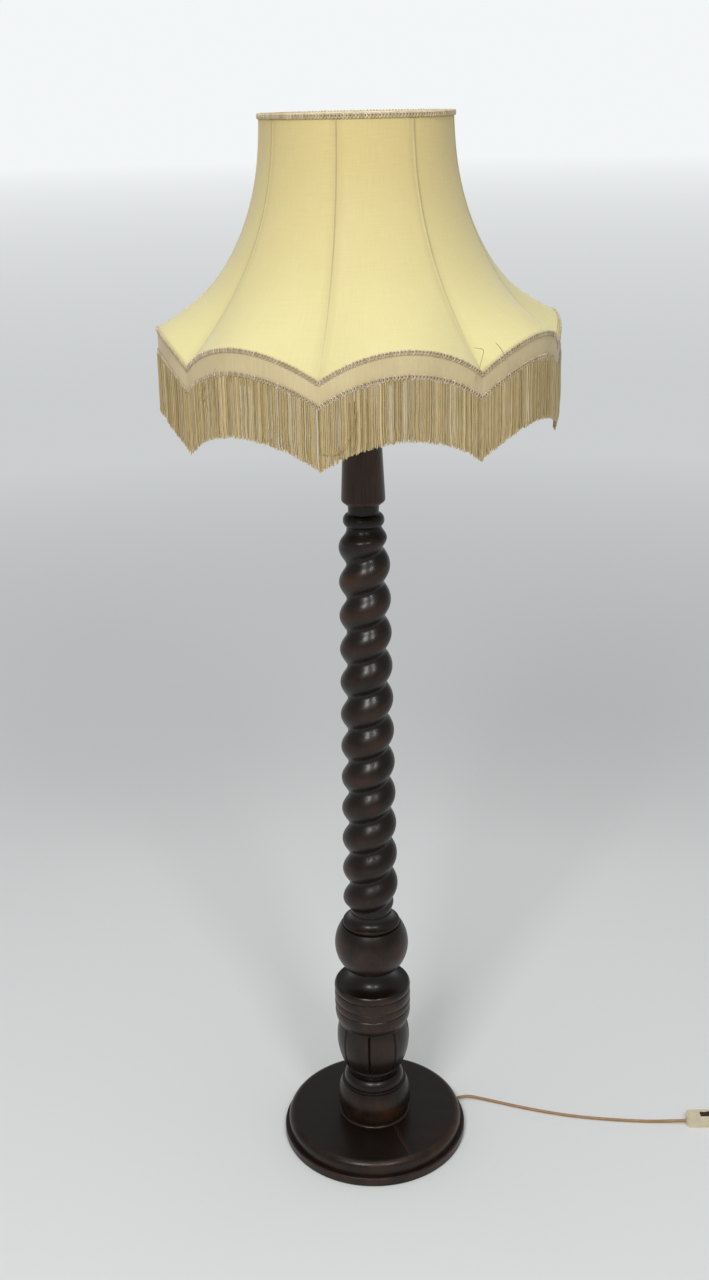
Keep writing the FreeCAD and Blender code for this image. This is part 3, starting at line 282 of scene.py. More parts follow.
# ---------------------------------------------------------------- node helpers
def put(tree, kind, inputs=None, **options):
    """Add a node, set its options, and link or set its inputs."""
    node = tree.nodes.new(kind)
    for name, value in options.items():
        setattr(node, name, value)
    for key, value in (inputs or {}).items():
        if isinstance(value, bpy.types.NodeSocket):
            tree.links.new(value, node.inputs[key])
        else:
            node.inputs[key].default_value = value
    return node


def calc(tree, operation, a, b=0.0, c=0.0):
    """Math node result."""
    return put(tree, "ShaderNodeMath", {0: a, 1: b, 2: c}, operation=operation).outputs[0]


def times(values, share):
    """Tone or scale multiplied by a share."""
    return tuple(value * share for value in values)


def scaled(tree, scale, vector=None):
    """Object coordinates, or another vector, stretched by one scale or by three."""
    if vector is None:
        vector = put(tree, "ShaderNodeTexCoord").outputs["Object"]
    sizes = scale if isinstance(scale, tuple) else (scale,) * 3
    return put(tree, "ShaderNodeMapping", {"Vector": vector, "Scale": sizes}).outputs[0]


def noise(tree, vector, detail=3.0, roughness=0.55, distortion=0.0):
    """Noise value at a stretched vector."""
    inputs = {"Vector": vector, "Scale": 1.0, "Detail": detail, "Roughness": roughness,
              "Distortion": distortion}
    return put(tree, "ShaderNodeTexNoise", inputs).outputs["Fac"]


def span(tree, value, low, high, out_low=0.0, out_high=1.0):
    """Value brought from one range to another and held there."""
    inputs = {"Value": value, "From Min": low, "From Max": high, "To Min": out_low, "To Max": out_high}
    return put(tree, "ShaderNodeMapRange", inputs).outputs["Result"]


def mixed(tree, share, first, second):
    """Colour between two colours."""
    node = put(tree, "ShaderNodeMix", {0: share}, data_type="RGBA")
    for index, value in ((6, first), (7, second)):
        if isinstance(value, bpy.types.NodeSocket):
            tree.links.new(value, node.inputs[index])
        else:
            node.inputs[index].default_value = (*value, 1.0)
    return node.outputs[2]


def bumped(tree, height, distance, strength, normal=None):
    """Normal disturbed by a height."""
    inputs = {"Height": height, "Distance": distance, "Strength": strength}
    if normal is not None:
        inputs["Normal"] = normal
    return put(tree, "ShaderNodeBump", inputs).outputs["Normal"]


def finish(name, constants, build):
    """Material whose shader takes constants on its own sockets and sockets from build(tree)."""
    material = bpy.data.materials.new(name)
    material.use_nodes = True
    tree = material.node_tree
    shader = tree.nodes["Principled BSDF"]
    for key, value in constants.items():
        shader.inputs[key].default_value = value
    for key, socket in build(tree).items():
        tree.links.new(socket, shader.inputs[key])
    return material


def radius_and_height(tree):
    """Distance from the lamp's axis, height above the floor, and the places across and back."""
    split = put(tree, "ShaderNodeSeparateXYZ", {0: put(tree, "ShaderNodeTexCoord").outputs["Object"]})
    x, y, z = split.outputs
    square = calc(tree, "ADD", calc(tree, "MULTIPLY", x, x), calc(tree, "MULTIPLY", y, y))
    return calc(tree, "SQRT", square), z, x, y


# ---------------------------------------------------------------- finishes
def wood_finish(name, settings, worn, grain_scale=UPRIGHT_GRAIN, red=False, crack=None, lines=None):
    """Old satin varnish over dark stain, with grain and rubbed places.

    worn(tree) gives 0 in hollows and 1 on proud places. With red, the grain has the neck's tone.
    crack(tree) gives a dark gap with its rubbed edge, and lines(tree) the height of turned lines.
    """
    def build(tree):
        drift = noise(tree, scaled(tree, times(grain_scale, 0.16)), 2.0)
        fibre = noise(tree, scaled(tree, grain_scale), 5.0, 0.62, 0.4)
        pores = noise(tree, scaled(tree, times(grain_scale, 3.2)), 2.0, 0.5)
        patches = noise(tree, scaled(tree, (22.0, 22.0, 16.0)), 4.0, 0.6)
        slow = span(tree, drift, 0.35, 0.7, 0.0, 0.35)
        share = calc(tree, "MULTIPLY_ADD", span(tree, fibre, 0.36, 0.68), 0.62, slow)
        colour = mixed(tree, share, settings.stain, settings.neck if red else settings.grain)
        rub = calc(tree, "MULTIPLY", worn(tree), span(tree, patches, 0.38, 0.66))
        colour = mixed(tree, calc(tree, "MULTIPLY", rub, 0.8), colour, settings.rubbed)
        colour = mixed(tree, span(tree, pores, 0.60, 0.74, 0.0, 0.55), colour, PORE_BROWN)
        height = calc(tree, "MULTIPLY_ADD", pores, -0.5, calc(tree, "MULTIPLY", fibre, 0.35))
        if crack is not None:
            gap, edge = crack(tree)
            colour = mixed(tree, calc(tree, "MULTIPLY", edge, 0.85), colour, settings.rubbed)
            colour = mixed(tree, gap, colour, CRACK_BROWN)
            height = calc(tree, "SUBTRACT", height, calc(tree, "MULTIPLY", gap, 4.0))
        if lines is not None:
            height = calc(tree, "ADD", height, lines(tree))
        waves = bumped(tree, noise(tree, scaled(tree, 34.0), 1.0), 0.0010, 0.25)
        return {
            "Base Color": colour,
            "Roughness": calc(tree, "MULTIPLY_ADD", patches, 0.20, settings.roughness - 0.12),
            "Normal": bumped(tree, height, 0.00012, 0.55, waves),
        }

    constants = {"Coat Weight": 0.15, "Coat Roughness": 0.20, "Specular IOR Level": 0.26}
    return finish(name, constants, build)


def twist_worn(tree):
    """Proud places of the twist, whose root and crest narrow with height."""
    radius, height, _, _ = radius_and_height(tree)
    root = span(tree, height, *TWIST_HEIGHTS, *TWIST_ROOTS)
    proud = calc(tree, "DIVIDE", calc(tree, "SUBTRACT", radius, root), TWIST_DEPTH)
    return span(tree, proud, 0.55, 1.0)


def turned_worn(low, high):
    """Proud places of a turned piece, from one radius to another."""
    def worn(tree):
        radius, _, _, _ = radius_and_height(tree)
        return span(tree, radius, low, high)
    return worn


def base_worn(tree):
    """Rim of the plinth and the shoulder of the upper disc."""
    radius, _, _, _ = radius_and_height(tree)
    apart = calc(tree, "ABSOLUTE", calc(tree, "SUBTRACT", radius, BASE_SHOULDER))
    return calc(tree, "MAXIMUM", span(tree, radius, *BASE_RIM), span(tree, apart, 0.0065, 0.0015))


def base_crack(tree):
    """Gap and rubbed edge of the fine open glue line across the front right of the base's top."""
    _, height, x, y = radius_and_height(tree)
    wander = calc(tree, "MULTIPLY_ADD", noise(tree, scaled(tree, (9.0, 45.0, 1.0)), 3.0), 0.006, -0.003)
    beside = calc(tree, "SUBTRACT", x, CRACK_POINT[0])
    line = calc(tree, "MULTIPLY_ADD", calc(tree, "SUBTRACT", y, CRACK_POINT[1]), CRACK_SLOPE, beside)
    apart = calc(tree, "ABSOLUTE", calc(tree, "ADD", line, wander))
    shown = calc(tree, "MULTIPLY", span(tree, y, *CRACK_FRONT), span(tree, height, *CRACK_HEIGHTS))
    gap = calc(tree, "MULTIPLY", span(tree, apart, 0.0014, 0.0006), shown)
    edge = calc(tree, "MULTIPLY", span(tree, apart, 0.0034, 0.0014), shown)
    return gap, edge


def turned_lines(tree):
    """Fine rings that the turning tool left on the base's upper rim."""
    radius, _, _, _ = radius_and_height(tree)
    wave = calc(tree, "SINE", calc(tree, "MULTIPLY", radius, 2 * pi / LINE_PITCH))
    return calc(tree, "MULTIPLY", wave, span(tree, radius, *LINE_RADII, 0.0, 0.9))


def metal_finish(name, colour, dark, roughness, metallic=1.0):
    """Metal or enamel with faint tarnish."""
    def build(tree):
        cloud = noise(tree, scaled(tree, 60.0), 5.0, 0.65)
        scratch = noise(tree, scaled(tree, (900.0, 900.0, 90.0)), 2.0)
        return {
            "Base Color": mixed(tree, span(tree, cloud, 0.35, 0.72), colour, dark),
            "Roughness": calc(tree, "MULTIPLY_ADD", cloud, 0.25, roughness - 0.08),
            "Normal": bumped(tree, scratch, 0.00004, 0.4),
        }
    return finish(name, {"Metallic": metallic}, build)


def shell_finish(name, colour, roughness, fine=260.0):
    """Moulded plastic, rubber or porcelain with a little grime and moulding texture."""
    def build(tree):
        cloud = noise(tree, scaled(tree, 45.0), 5.0, 0.6)
        grit = noise(tree, scaled(tree, fine), 2.0)
        return {
            "Base Color": mixed(tree, span(tree, cloud, 0.42, 0.78), colour, times(colour, 0.72)),
            "Roughness": calc(tree, "MULTIPLY_ADD", cloud, 0.22, roughness - 0.10),
            "Normal": bumped(tree, grit, 0.00006, 0.35),
        }
    return finish(name, {}, build)


def weave(tree, vector, pitch):
    """Plain weave height from two crossed sets of threads."""
    split = put(tree, "ShaderNodeSeparateXYZ", {0: vector})
    turn = 2 * pi / pitch
    across = calc(tree, "SINE", calc(tree, "MULTIPLY", split.outputs[0], turn))
    along = calc(tree, "SINE", calc(tree, "MULTIPLY", split.outputs[1], turn))
    return calc(tree, "ADD", calc(tree, "MULTIPLY", across, 0.5), calc(tree, "MULTIPLY", along, 0.5))


def cloth_finish(name, settings):
    """Stretched cream cloth: fine weave, slubs, an aged tinge above, and a painted shadow of the seam wires
    that shows through the cloth as darker lines on the seams.
    """
    def build(tree):
        cloth = put(tree, "ShaderNodeUVMap", uv_map="cloth").outputs[0]
        seam = put(tree, "ShaderNodeAttribute", attribute_name="seam_distance").outputs["Fac"]
        _, height, _, _ = radius_and_height(tree)
        slub = noise(tree, scaled(tree, (700.0, 26.0, 1.0), cloth), 3.0, 0.6)
        cross = noise(tree, scaled(tree, (22.0, 800.0, 1.0), cloth), 3.0, 0.6)
        mottle = noise(tree, scaled(tree, 9.0), 4.0, 0.62)
        age = calc(tree, "MULTIPLY_ADD", mottle, 0.55, span(tree, height, *AGEING_HEIGHTS, -0.30, 0.62))
        colour = mixed(tree, age, settings.cloth, settings.aged)
        thread = calc(tree, "MULTIPLY", calc(tree, "ADD", slub, cross), 0.5)
        colour = mixed(tree, span(tree, thread, 0.40, 0.62, 0.0, 0.16), colour, CLOTH_SLUB)
        # Painted shadow of the seam wires seen through the cloth: a thin dark line on each seam with a faint
        # wider shade beside it, weaker towards the hem
        blur = noise(tree, scaled(tree, (1.0, 28.0, 1.0), cloth), 3.0)
        width = calc(tree, "MULTIPLY_ADD", blur, 0.0022, 0.0003)
        line = span(tree, calc(tree, "DIVIDE", seam, width), 1.0, 0.25)
        shadow_halo = span(tree, seam, 0.012, 0.0, 0.0, 0.16)
        low = span(tree, height, *WIRE_SHADOW_HEIGHTS, 0.30, 0.62)
        dark = calc(tree, "MAXIMUM", calc(tree, "MULTIPLY", line, low), shadow_halo)
        colour = mixed(tree, dark, colour, WIRE_SHADOW_BROWN)
        height_map = calc(tree, "ADD", weave(tree, cloth, CLOTH_WEAVE), calc(tree, "MULTIPLY", thread, 1.4))
        return {"Base Color": colour, "Normal": bumped(tree, height_map, 0.00010, 0.30)}

    constants = {"Roughness": 0.78, "Sheen Weight": 0.25, "Sheen Roughness": 0.5, "Specular IOR Level": 0.25}
    return finish(name, constants, build)


def collar_finish(name, settings):
    """Plain beige band, slightly ribbed across its height."""
    def build(tree):
        cloth = put(tree, "ShaderNodeUVMap", uv_map="cloth").outputs[0]
        slub = noise(tree, scaled(tree, (520.0, 30.0, 1.0), cloth), 3.0, 0.6)
        mottle = noise(tree, scaled(tree, 14.0), 4.0, 0.6)
        beige = settings.collar
        colour = mixed(tree, span(tree, mottle, 0.35, 0.7), beige, times(beige, 0.84))
        colour = mixed(tree, span(tree, slub, 0.42, 0.65, 0.0, 0.2), colour, COLLAR_SLUB)
        height_map = calc(tree, "ADD", weave(tree, cloth, COLLAR_WEAVE), slub)
        return {"Base Color": colour, "Normal": bumped(tree, height_map, 0.00010, 0.35)}

    constants = {"Roughness": 0.8, "Sheen Weight": 0.2, "Sheen Roughness": 0.5, "Specular IOR Level": 0.25}
    return finish(name, constants, build)


def thread_finish(name, colour, bright):
    """Twisted silky thread whose tone varies from thread to thread."""
    def build(tree):
        own = put(tree, "ShaderNodeAttribute", attribute_name="thread_tone").outputs["Fac"]
        _, height, _, _ = radius_and_height(tree)
        lay = calc(tree, "SINE", calc(tree, "MULTIPLY", height, 2 * pi / THREAD_LAY))
        cloud = noise(tree, scaled(tree, (160.0, 160.0, 60.0)), 3.0)
        share = calc(tree, "MULTIPLY_ADD", own, 0.75, calc(tree, "MULTIPLY_ADD", cloud, 0.5, -0.30))
        tinted = mixed(tree, share, times(colour, 0.62), bright)
        tinted = mixed(tree, span(tree, lay, -1.0, 1.0, 0.0, 0.22), tinted, times(colour, 0.5))
        return {"Base Color": tinted, "Normal": bumped(tree, lay, 0.00012, 0.5)}

    constants = {"Roughness": 0.55, "Sheen Weight": 0.35, "Sheen Roughness": 0.4, "Specular IOR Level": 0.4}
    return finish(name, constants, build)


def lead_finish(name, colour):
    """Lead sheath, slightly scuffed and dusty."""
    def build(tree):
        cloud = noise(tree, scaled(tree, 70.0), 5.0, 0.65)
        scuff = noise(tree, scaled(tree, 420.0), 3.0)
        clouded = mixed(tree, span(tree, cloud, 0.35, 0.7), colour, times(colour, 1.3))
        worn = span(tree, scuff, 0.55, 0.8, 0.0, 0.5)
        return {
            "Base Color": mixed(tree, worn, clouded, times(colour, 0.6)),
            "Roughness": calc(tree, "MULTIPLY_ADD", cloud, 0.3, 0.28),
            "Normal": bumped(tree, scuff, 0.00008, 0.5),
        }
    return finish(name, {}, build)


def felt_finish(name):
    """Green felt with a short nap."""
    def build(tree):
        nap = noise(tree, scaled(tree, 900.0), 4.0, 0.7)
        cloud = noise(tree, scaled(tree, 30.0), 4.0)
        colour = mixed(tree, span(tree, cloud, 0.35, 0.7), FELT_DARK, FELT_PALE)
        return {"Base Color": colour, "Normal": bumped(tree, nap, 0.0004, 0.8)}
    return finish(name, {"Roughness": 0.95, "Sheen Weight": 0.5, "Specular IOR Level": 0.1}, build)


def glass_finish(name):
    """Clear lamp glass with the faintest smear."""
    def build(tree):
        smear = noise(tree, scaled(tree, 50.0), 4.0)
        return {"Roughness": span(tree, smear, 0.3, 0.8, 0.0, 0.06)}
    return finish(name, {"Base Color": GLASS_TONE, "Transmission Weight": 1.0, "IOR": 1.45}, build)


# ---------------------------------------------------------------- mesh helpers
def new_object(name, data):
    """Object for some data, linked to the scene."""
    piece = bpy.data.objects.new(name, data)
    bpy.context.scene.collection.objects.link(piece)
    return piece


def mesh_piece(name, mesh, body, material):
    """Object for a mesh that is already in place, with its body and its material."""
    piece = new_object(name, mesh)
    mesh.materials.clear()
    mesh.materials.append(material)
    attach(piece, body)
    return piece


def stand_up(name, verts, faces, material, body, uvs=None):
    """Smooth mesh piece from points in place, with cloth coordinates where it has them."""
    mesh = bpy.data.meshes.new(name)
    mesh.from_pydata(verts, [], faces)
    mesh.validate()
    mesh.polygons.foreach_set("use_smooth", [True] * len(mesh.polygons))
    if uvs is not None:
        layer = mesh.uv_layers.new(name="cloth")
        for loop in mesh.loops:
            layer.data[loop.index].uv = uvs[loop.vertex_index]
    return mesh_piece(name, mesh, body, material)


def curve_data(name, paths, smooth=False, **settings):
    """Curve with a straight or smooth open line through each list of points."""
    data = bpy.data.curves.new(name, "CURVE")
    data.dimensions = "3D"
    for key, value in settings.items():
        setattr(data, key, value)
    for path in paths:
        spline = data.splines.new("NURBS" if smooth else "POLY")
        spline.points.add(len(path) - 1)
        for target, point in zip(spline.points, path):
            target.co = (*point, 1.0)
        if smooth:
            spline.order_u = 3
            spline.use_endpoint_u = True
    return data


def dress(material, *nodes):
    """Give solids their finish."""
    for node in nodes:
        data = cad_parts[node].data
        data.materials.clear()
        data.materials.append(material)


def evaluated_mesh(piece, name):
    """Plain mesh of a piece with its modifiers applied."""
    graph = bpy.context.evaluated_depsgraph_get()
    mesh = bpy.data.meshes.new_from_object(piece.evaluated_get(graph), depsgraph=graph)
    mesh.name = name
    return mesh


def stiffen(piece, thickness):
    """Give a one-sided sheet its thickness, inward from the shown face."""
    solid = piece.modifiers.new("thickness", "SOLIDIFY")
    solid.thickness = thickness
    solid.offset = -1.0
    solid.use_even_offset = False
    mesh = evaluated_mesh(piece, piece.name)
    piece.modifiers.clear()
    piece.data = mesh
    return piece


def natural_spline(points, count):
    """Points on the natural cubic spline through (radius, drop) points, evenly spread by chord length."""
    steps = [sqrt((b[0] - a[0]) ** 2 + (b[1] - a[1]) ** 2) for a, b in zip(points, points[1:])]
    knots = [0.0]
    for step in steps:
        knots.append(knots[-1] + step)
    size = len(points)
    columns = []
    for axis in (0, 1):
        low, right = [0.0] * size, [0.0] * size
        value = [point[axis] for point in points]
        for i in range(1, size - 1):
            before, after = steps[i - 1], steps[i]
            slope = (value[i + 1] - value[i]) / after - (value[i] - value[i - 1]) / before
            pivot = 2 * (before + after) - before * low[i - 1]
            low[i] = after / pivot
            right[i] = (6 * slope - before * right[i - 1]) / pivot
        bend = [0.0] * size
        for i in range(size - 2, 0, -1):
            bend[i] = right[i] - low[i] * bend[i + 1]
        columns.append((value, bend))
    result = []
    for k in range(count + 1):
        at = knots[-1] * k / count
        i = min(size - 2, max(j for j in range(size - 1) if knots[j] <= at + 1e-12))
        step = steps[i]
        near, far = (knots[i + 1] - at) / step, (at - knots[i]) / step
        point = []
        for value, bend in columns:
            curve = ((near ** 3 - near) * bend[i] + (far ** 3 - far) * bend[i + 1]) * step ** 2 / 6
            point.append(near * value[i] + far * value[i + 1] + curve)
        result.append((point[0] * MM, point[1] * MM))
    return result


def panel_turns():
    """Places across a panel from -1 to 1, closer together beside the seams."""
    outer = [1.0, 0.992, 0.982, 0.968, 0.945, 0.905, 0.85, 0.77, 0.67, 0.55, 0.42, 0.28, 0.14]
    return [-value for value in outer] + [0.0] + outer[::-1]


def shade_columns():
    """(turn, angle) round the whole shade, each seam once."""
    columns = []
    for panel in range(PANELS):
        middle = PANEL_TURN + HALF_PANEL * (2 * panel + 1)
        columns += [(turn, middle + turn * HALF_PANEL) for turn in panel_turns()[:-1]]
    return columns


def share_of(turn):
    """0 at a seam, 1 in the middle of a panel."""
    return 1 - turn ** 2


def hem_point(turn, angle, offset, drop):
    """Point at an offset outward from the hem line and a drop below it."""
    share = share_of(turn)
    radius = HEM_RADIUS + HEM_BOW * share + offset
    return Vector((radius * cos(angle), radius * sin(angle), HEM_CUSP + SCALLOP_RISE * share - drop))


def ring_faces(columns, rows):
    """Faces of a tube of points listed column by column, rows from the top down, facing outward."""
    faces = []
    for i in range(columns):
        j = (i + 1) % columns
        for k in range(rows - 1):
            faces.append((i * rows + k, i * rows + k + 1, j * rows + k + 1, j * rows + k))
    return faces


# ---------------------------------------------------------------- geometry node helpers
def node_tree(name, inputs):
    """Geometry tree with named inputs; returns the tree, its inputs' sockets and its output node."""
    tree = bpy.data.node_groups.new(name, "GeometryNodeTree")
    tree.interface.new_socket("Geometry", in_out="INPUT", socket_type="NodeSocketGeometry")
    tree.interface.new_socket("Geometry", in_out="OUTPUT", socket_type="NodeSocketGeometry")
    for label, (kind, value) in inputs.items():
        tree.interface.new_socket(label, in_out="INPUT", socket_type=kind).default_value = value
    return tree, tree.nodes.new("NodeGroupInput").outputs, tree.nodes.new("NodeGroupOutput")


def grow(piece, tree, values):
    """Run a geometry tree on a piece with values for its named inputs, and keep the plain mesh."""
    modifier = piece.modifiers.new(tree.name, "NODES")
    modifier.node_group = tree
    for item in tree.interface.items_tree:
        if item.in_out == "INPUT" and item.name in values:
            modifier[item.identifier] = values[item.name]
    bpy.context.view_layer.update()
    mesh = evaluated_mesh(piece, piece.name)
    piece.modifiers.clear()
    return mesh


def path_curve(name, points):
    """Closed line through points, as the path of a geometry tree."""
    data = curve_data(name, [points])
    data.splines[0].use_cyclic_u = True
    return new_object(name, data)


def vector_calc(tree, operation, first, second):
    """Vector math node result."""
    return put(tree, "ShaderNodeVectorMath", {0: first, 1: second}, operation=operation).outputs[0]


def vector_of(tree, x, y, z):
    """Vector from three values."""
    return put(tree, "ShaderNodeCombineXYZ", {0: x, 1: y, 2: z}).outputs[0]


def evenly(tree, curve, step):
    """Curve with a point at each step of length."""
    return put(tree, "GeometryNodeResampleCurve", {"Curve": curve, "Length": step}, mode="LENGTH").outputs[0]


def placed(tree, geometry, **change):
    """Geometry with a Translation, a Rotation or a Scale."""
    return put(tree, "GeometryNodeTransform", {"Geometry": geometry, **change}).outputs[0]


def pushed(tree, geometry, offset):
    """Geometry whose points are moved by an offset each."""
    return put(tree, "GeometryNodeSetPosition", {"Geometry": geometry, "Offset": offset}).outputs[0]


def random_value(tree, low, high, seed):
    """Random number for each point or copy."""
    inputs = {2: low, 3: high, "Seed": seed}
    return put(tree, "FunctionNodeRandomValue", inputs, data_type="FLOAT").outputs[1]


def toned_copies(tree, copies, low, high, seed):
    """Copies made real, each with a random tone of its own."""
    inputs = {"Geometry": copies, "Name": "thread_tone", "Value": random_value(tree, low, high, seed)}
    toned = put(tree, "GeometryNodeStoreNamedAttribute", inputs, data_type="FLOAT", domain="INSTANCE")
    return put(tree, "GeometryNodeRealizeInstances", {0: toned.outputs[0]}).outputs[0]


def round_tube(tree, curve, radius, sides, caps=False):
    """Tube of some sides along a curve."""
    ring = put(tree, "GeometryNodeCurvePrimitiveCircle", {"Resolution": sides, "Radius": radius})
    inputs = {"Curve": curve, "Profile Curve": ring.outputs["Curve"], "Fill Caps": caps}
    return put(tree, "GeometryNodeCurveToMesh", inputs).outputs[0]


def hand_out(tree, geometry, material, result):
    """Smooth the geometry, give it its material and link it to the tree's output."""
    smooth = put(tree, "GeometryNodeSetShadeSmooth", {"Geometry": geometry})
    painted = put(tree, "GeometryNodeSetMaterial", {"Geometry": smooth.outputs[0], "Material": material})
    tree.links.new(painted.outputs[0], result.inputs[0])


def braid_tree(material):
    """Chain of upright oval loops along a path, held by two thin cords."""
    tree, sockets, result = node_tree("gimp_braid", {
        "Loop pitch": ("NodeSocketFloat", 0.0044),
        "Braid height": ("NodeSocketFloat", 0.0075),
        "Yarn radius": ("NodeSocketFloat", YARN_RADIUS),
    })
    tangent = put(tree, "GeometryNodeInputTangent").outputs[0]
    place = put(tree, "GeometryNodeInputPosition").outputs[0]
    outward = vector_calc(tree, "MULTIPLY", place, (1.0, 1.0, 0.0))
    turn = put(tree, "FunctionNodeAlignRotationToVector", {"Vector": tangent}, axis="X")
    turn = put(tree, "FunctionNodeAlignRotationToVector", {"Rotation": turn.outputs[0], "Vector": outward},
               axis="Y", pivot_axis="X")
    half = calc(tree, "MULTIPLY", sockets["Braid height"], 0.5)
    reach = calc(tree, "SUBTRACT", half, sockets["Yarn radius"])
    width = calc(tree, "MULTIPLY", sockets["Loop pitch"], LOOP_WIDTH_SHARE)
    circle = put(tree, "GeometryNodeCurvePrimitiveCircle", {"Resolution": 12, "Radius": 1.0})
    oval = placed(tree, circle.outputs["Curve"], Scale=vector_of(tree, width, reach, 1.0))
    upright = placed(tree, oval, Rotation=(pi / 2, 0.0, 0.0))
    slanted = placed(tree, upright, Rotation=(0.0, 0.0, LOOP_SLANT))
    loops = put(tree, "GeometryNodeInstanceOnPoints", {
        "Points": evenly(tree, sockets["Geometry"], sockets["Loop pitch"]),
        "Instance": round_tube(tree, slanted, sockets["Yarn radius"], 5),
        "Rotation": turn.outputs[0],
    })
    parts = [toned_copies(tree, loops.outputs[0], 0.15, 0.85, 5)]
    for share in CORD_SHARES:
        lift = vector_of(tree, 0.0, 0.0, calc(tree, "MULTIPLY", reach, share))
        parts.append(round_tube(tree, placed(tree, sockets["Geometry"], Translation=lift), CORD_RADIUS, 6))
    joined = tree.nodes.new("GeometryNodeJoinGeometry")
    for part in parts:
        tree.links.new(part, joined.inputs[0])
    hand_out(tree, joined.outputs[0], material, result)
    return tree


def fringe_tree(material):
    """Row of hanging threads along a path, uneven in length and a little wavy."""
    tree, sockets, result = node_tree("hanging_fringe", {
        "Thread spacing": ("NodeSocketFloat", 0.0018),
        "Thread radius": ("NodeSocketFloat", 0.0005),
        "Fringe length": ("NodeSocketFloat", 0.080),
        "Sway": ("NodeSocketFloat", 0.0022),
        "Seed": ("NodeSocketInt", 1),
    })
    seed = sockets["Seed"]
    path = evenly(tree, sockets["Geometry"], sockets["Thread spacing"])
    spots = put(tree, "GeometryNodeCurveToPoints", {"Curve": path}, mode="EVALUATED").outputs["Points"]
    jitter = put(tree, "FunctionNodeRandomValue", {0: THREAD_JITTER[0], 1: THREAD_JITTER[1], "Seed": seed},
                 data_type="FLOAT_VECTOR")
    low = calc(tree, "MULTIPLY", sockets["Fringe length"], -1.0)
    line = put(tree, "GeometryNodeCurvePrimitiveLine", {"End": vector_of(tree, 0.0, 0.0, low)}, mode="POINTS")
    line = put(tree, "GeometryNodeResampleCurve", {"Curve": line.outputs[0], "Count": 9}, mode="COUNT")
    threads = put(tree, "GeometryNodeInstanceOnPoints", {
        "Points": pushed(tree, spots, jitter.outputs[0]),
        "Instance": line.outputs[0],
        "Scale": vector_of(tree, 1.0, 1.0, random_value(tree, *THREAD_STRETCH, seed)),
    })
    loose = toned_copies(tree, threads.outputs[0], 0.0, 1.0, seed)
    factor = put(tree, "GeometryNodeSplineParameter").outputs["Factor"]
    place = put(tree, "GeometryNodeInputPosition").outputs[0]
    drift = put(tree, "ShaderNodeTexNoise", {"Vector": place, "Scale": 38.0, "Detail": 2.0},
                noise_dimensions="3D")
    centred = vector_calc(tree, "SUBTRACT", drift.outputs["Color"], (0.5, 0.5, 0.5))
    level = vector_calc(tree, "MULTIPLY", centred, (1.0, 1.0, 0.1))
    much = calc(tree, "MULTIPLY", calc(tree, "POWER", factor, 1.4), sockets["Sway"])
    more = calc(tree, "MULTIPLY", much, 4.0)
    push = put(tree, "ShaderNodeVectorMath", {0: level, "Scale": more}, operation="SCALE").outputs[0]
    tubes = round_tube(tree, pushed(tree, loose, push), sockets["Thread radius"], 4, caps=True)
    hand_out(tree, tubes, material, result)
    return tree


def hem_path(name, offset, drop):
    """Closed path round the scalloped hem."""
    return path_curve(name, [hem_point(turn, angle, offset, drop) for turn, angle in shade_columns()])


# ---------------------------------------------------------------- operators, one for each group of pieces
class WoodenStandard(bpy.types.Operator):
    """Stain and varnish the base, the column and the candle neck, and lay the felt"""
    bl_idname = "lamp.wooden_standard"
    bl_label = "Wooden standard"

    def execute(self, context):
        settings = context.scene.lamp_wood
        base = wood_finish("base_wood", settings, base_worn, BASE_GRAIN, crack=base_crack, lines=turned_lines)
        dress(base, "base_disc")
        for name, node, worn in (("foot_wood", "pedestal_foot", turned_worn(0.052, 0.061)),
                                 ("vase_wood", "gadrooned_vase", turned_worn(0.056, 0.062)),
                                 ("knop_wood", "ball_knop", turned_worn(0.052, 0.060)),
                                 ("twist_wood", "twist_column", twist_worn)):
            dress(wood_finish(name, settings, worn), node)
        dress(wood_finish("neck_wood", settings, turned_worn(0.020, 0.034), red=True), "candle_neck")
        dress(felt_finish("green_felt"), "felt_pad")
        return {"FINISHED"}


class Fittings(bpy.types.Operator):
    """Finish the tube, nuts, lampholder and shade frame"""
    bl_idname = "lamp.fittings"
    bl_label = "Fittings"

    def execute(self, context):
        brass = metal_finish("aged_brass", (0.56, 0.39, 0.16), (0.33, 0.21, 0.09), 0.30)
        steel = metal_finish("dull_zinc", (0.50, 0.50, 0.49), (0.30, 0.29, 0.27), 0.42)
        enamel = metal_finish("cream_enamel", (0.72, 0.65, 0.48), (0.50, 0.42, 0.27), 0.45, 0.0)
        dress(brass, "neck_cap", "lock_nut", "stem_sleeve", "holder_cap", "holder_shell", "shade_ring_nut",
              "switch_contacts", "plug_pins")
        dress(steel, "flex_clamp", "clamp_screws", "base_washer", "base_nut", "centre_tube", "switch_screws")
        dress(enamel, "frame_ribs", "upper_hem_wire", "lower_hem_wire", "collar_struts",
              "carrier_ring", "carrier_arms", "top_ring")
        dress(shell_finish("white_porcelain", (0.80, 0.79, 0.74), 0.16, 90.0), "holder_insert")
        dress(shell_finish("black_rubber", (0.022, 0.020, 0.018), 0.62), "cord_grommet", "cord_tie")
        return {"FINISHED"}


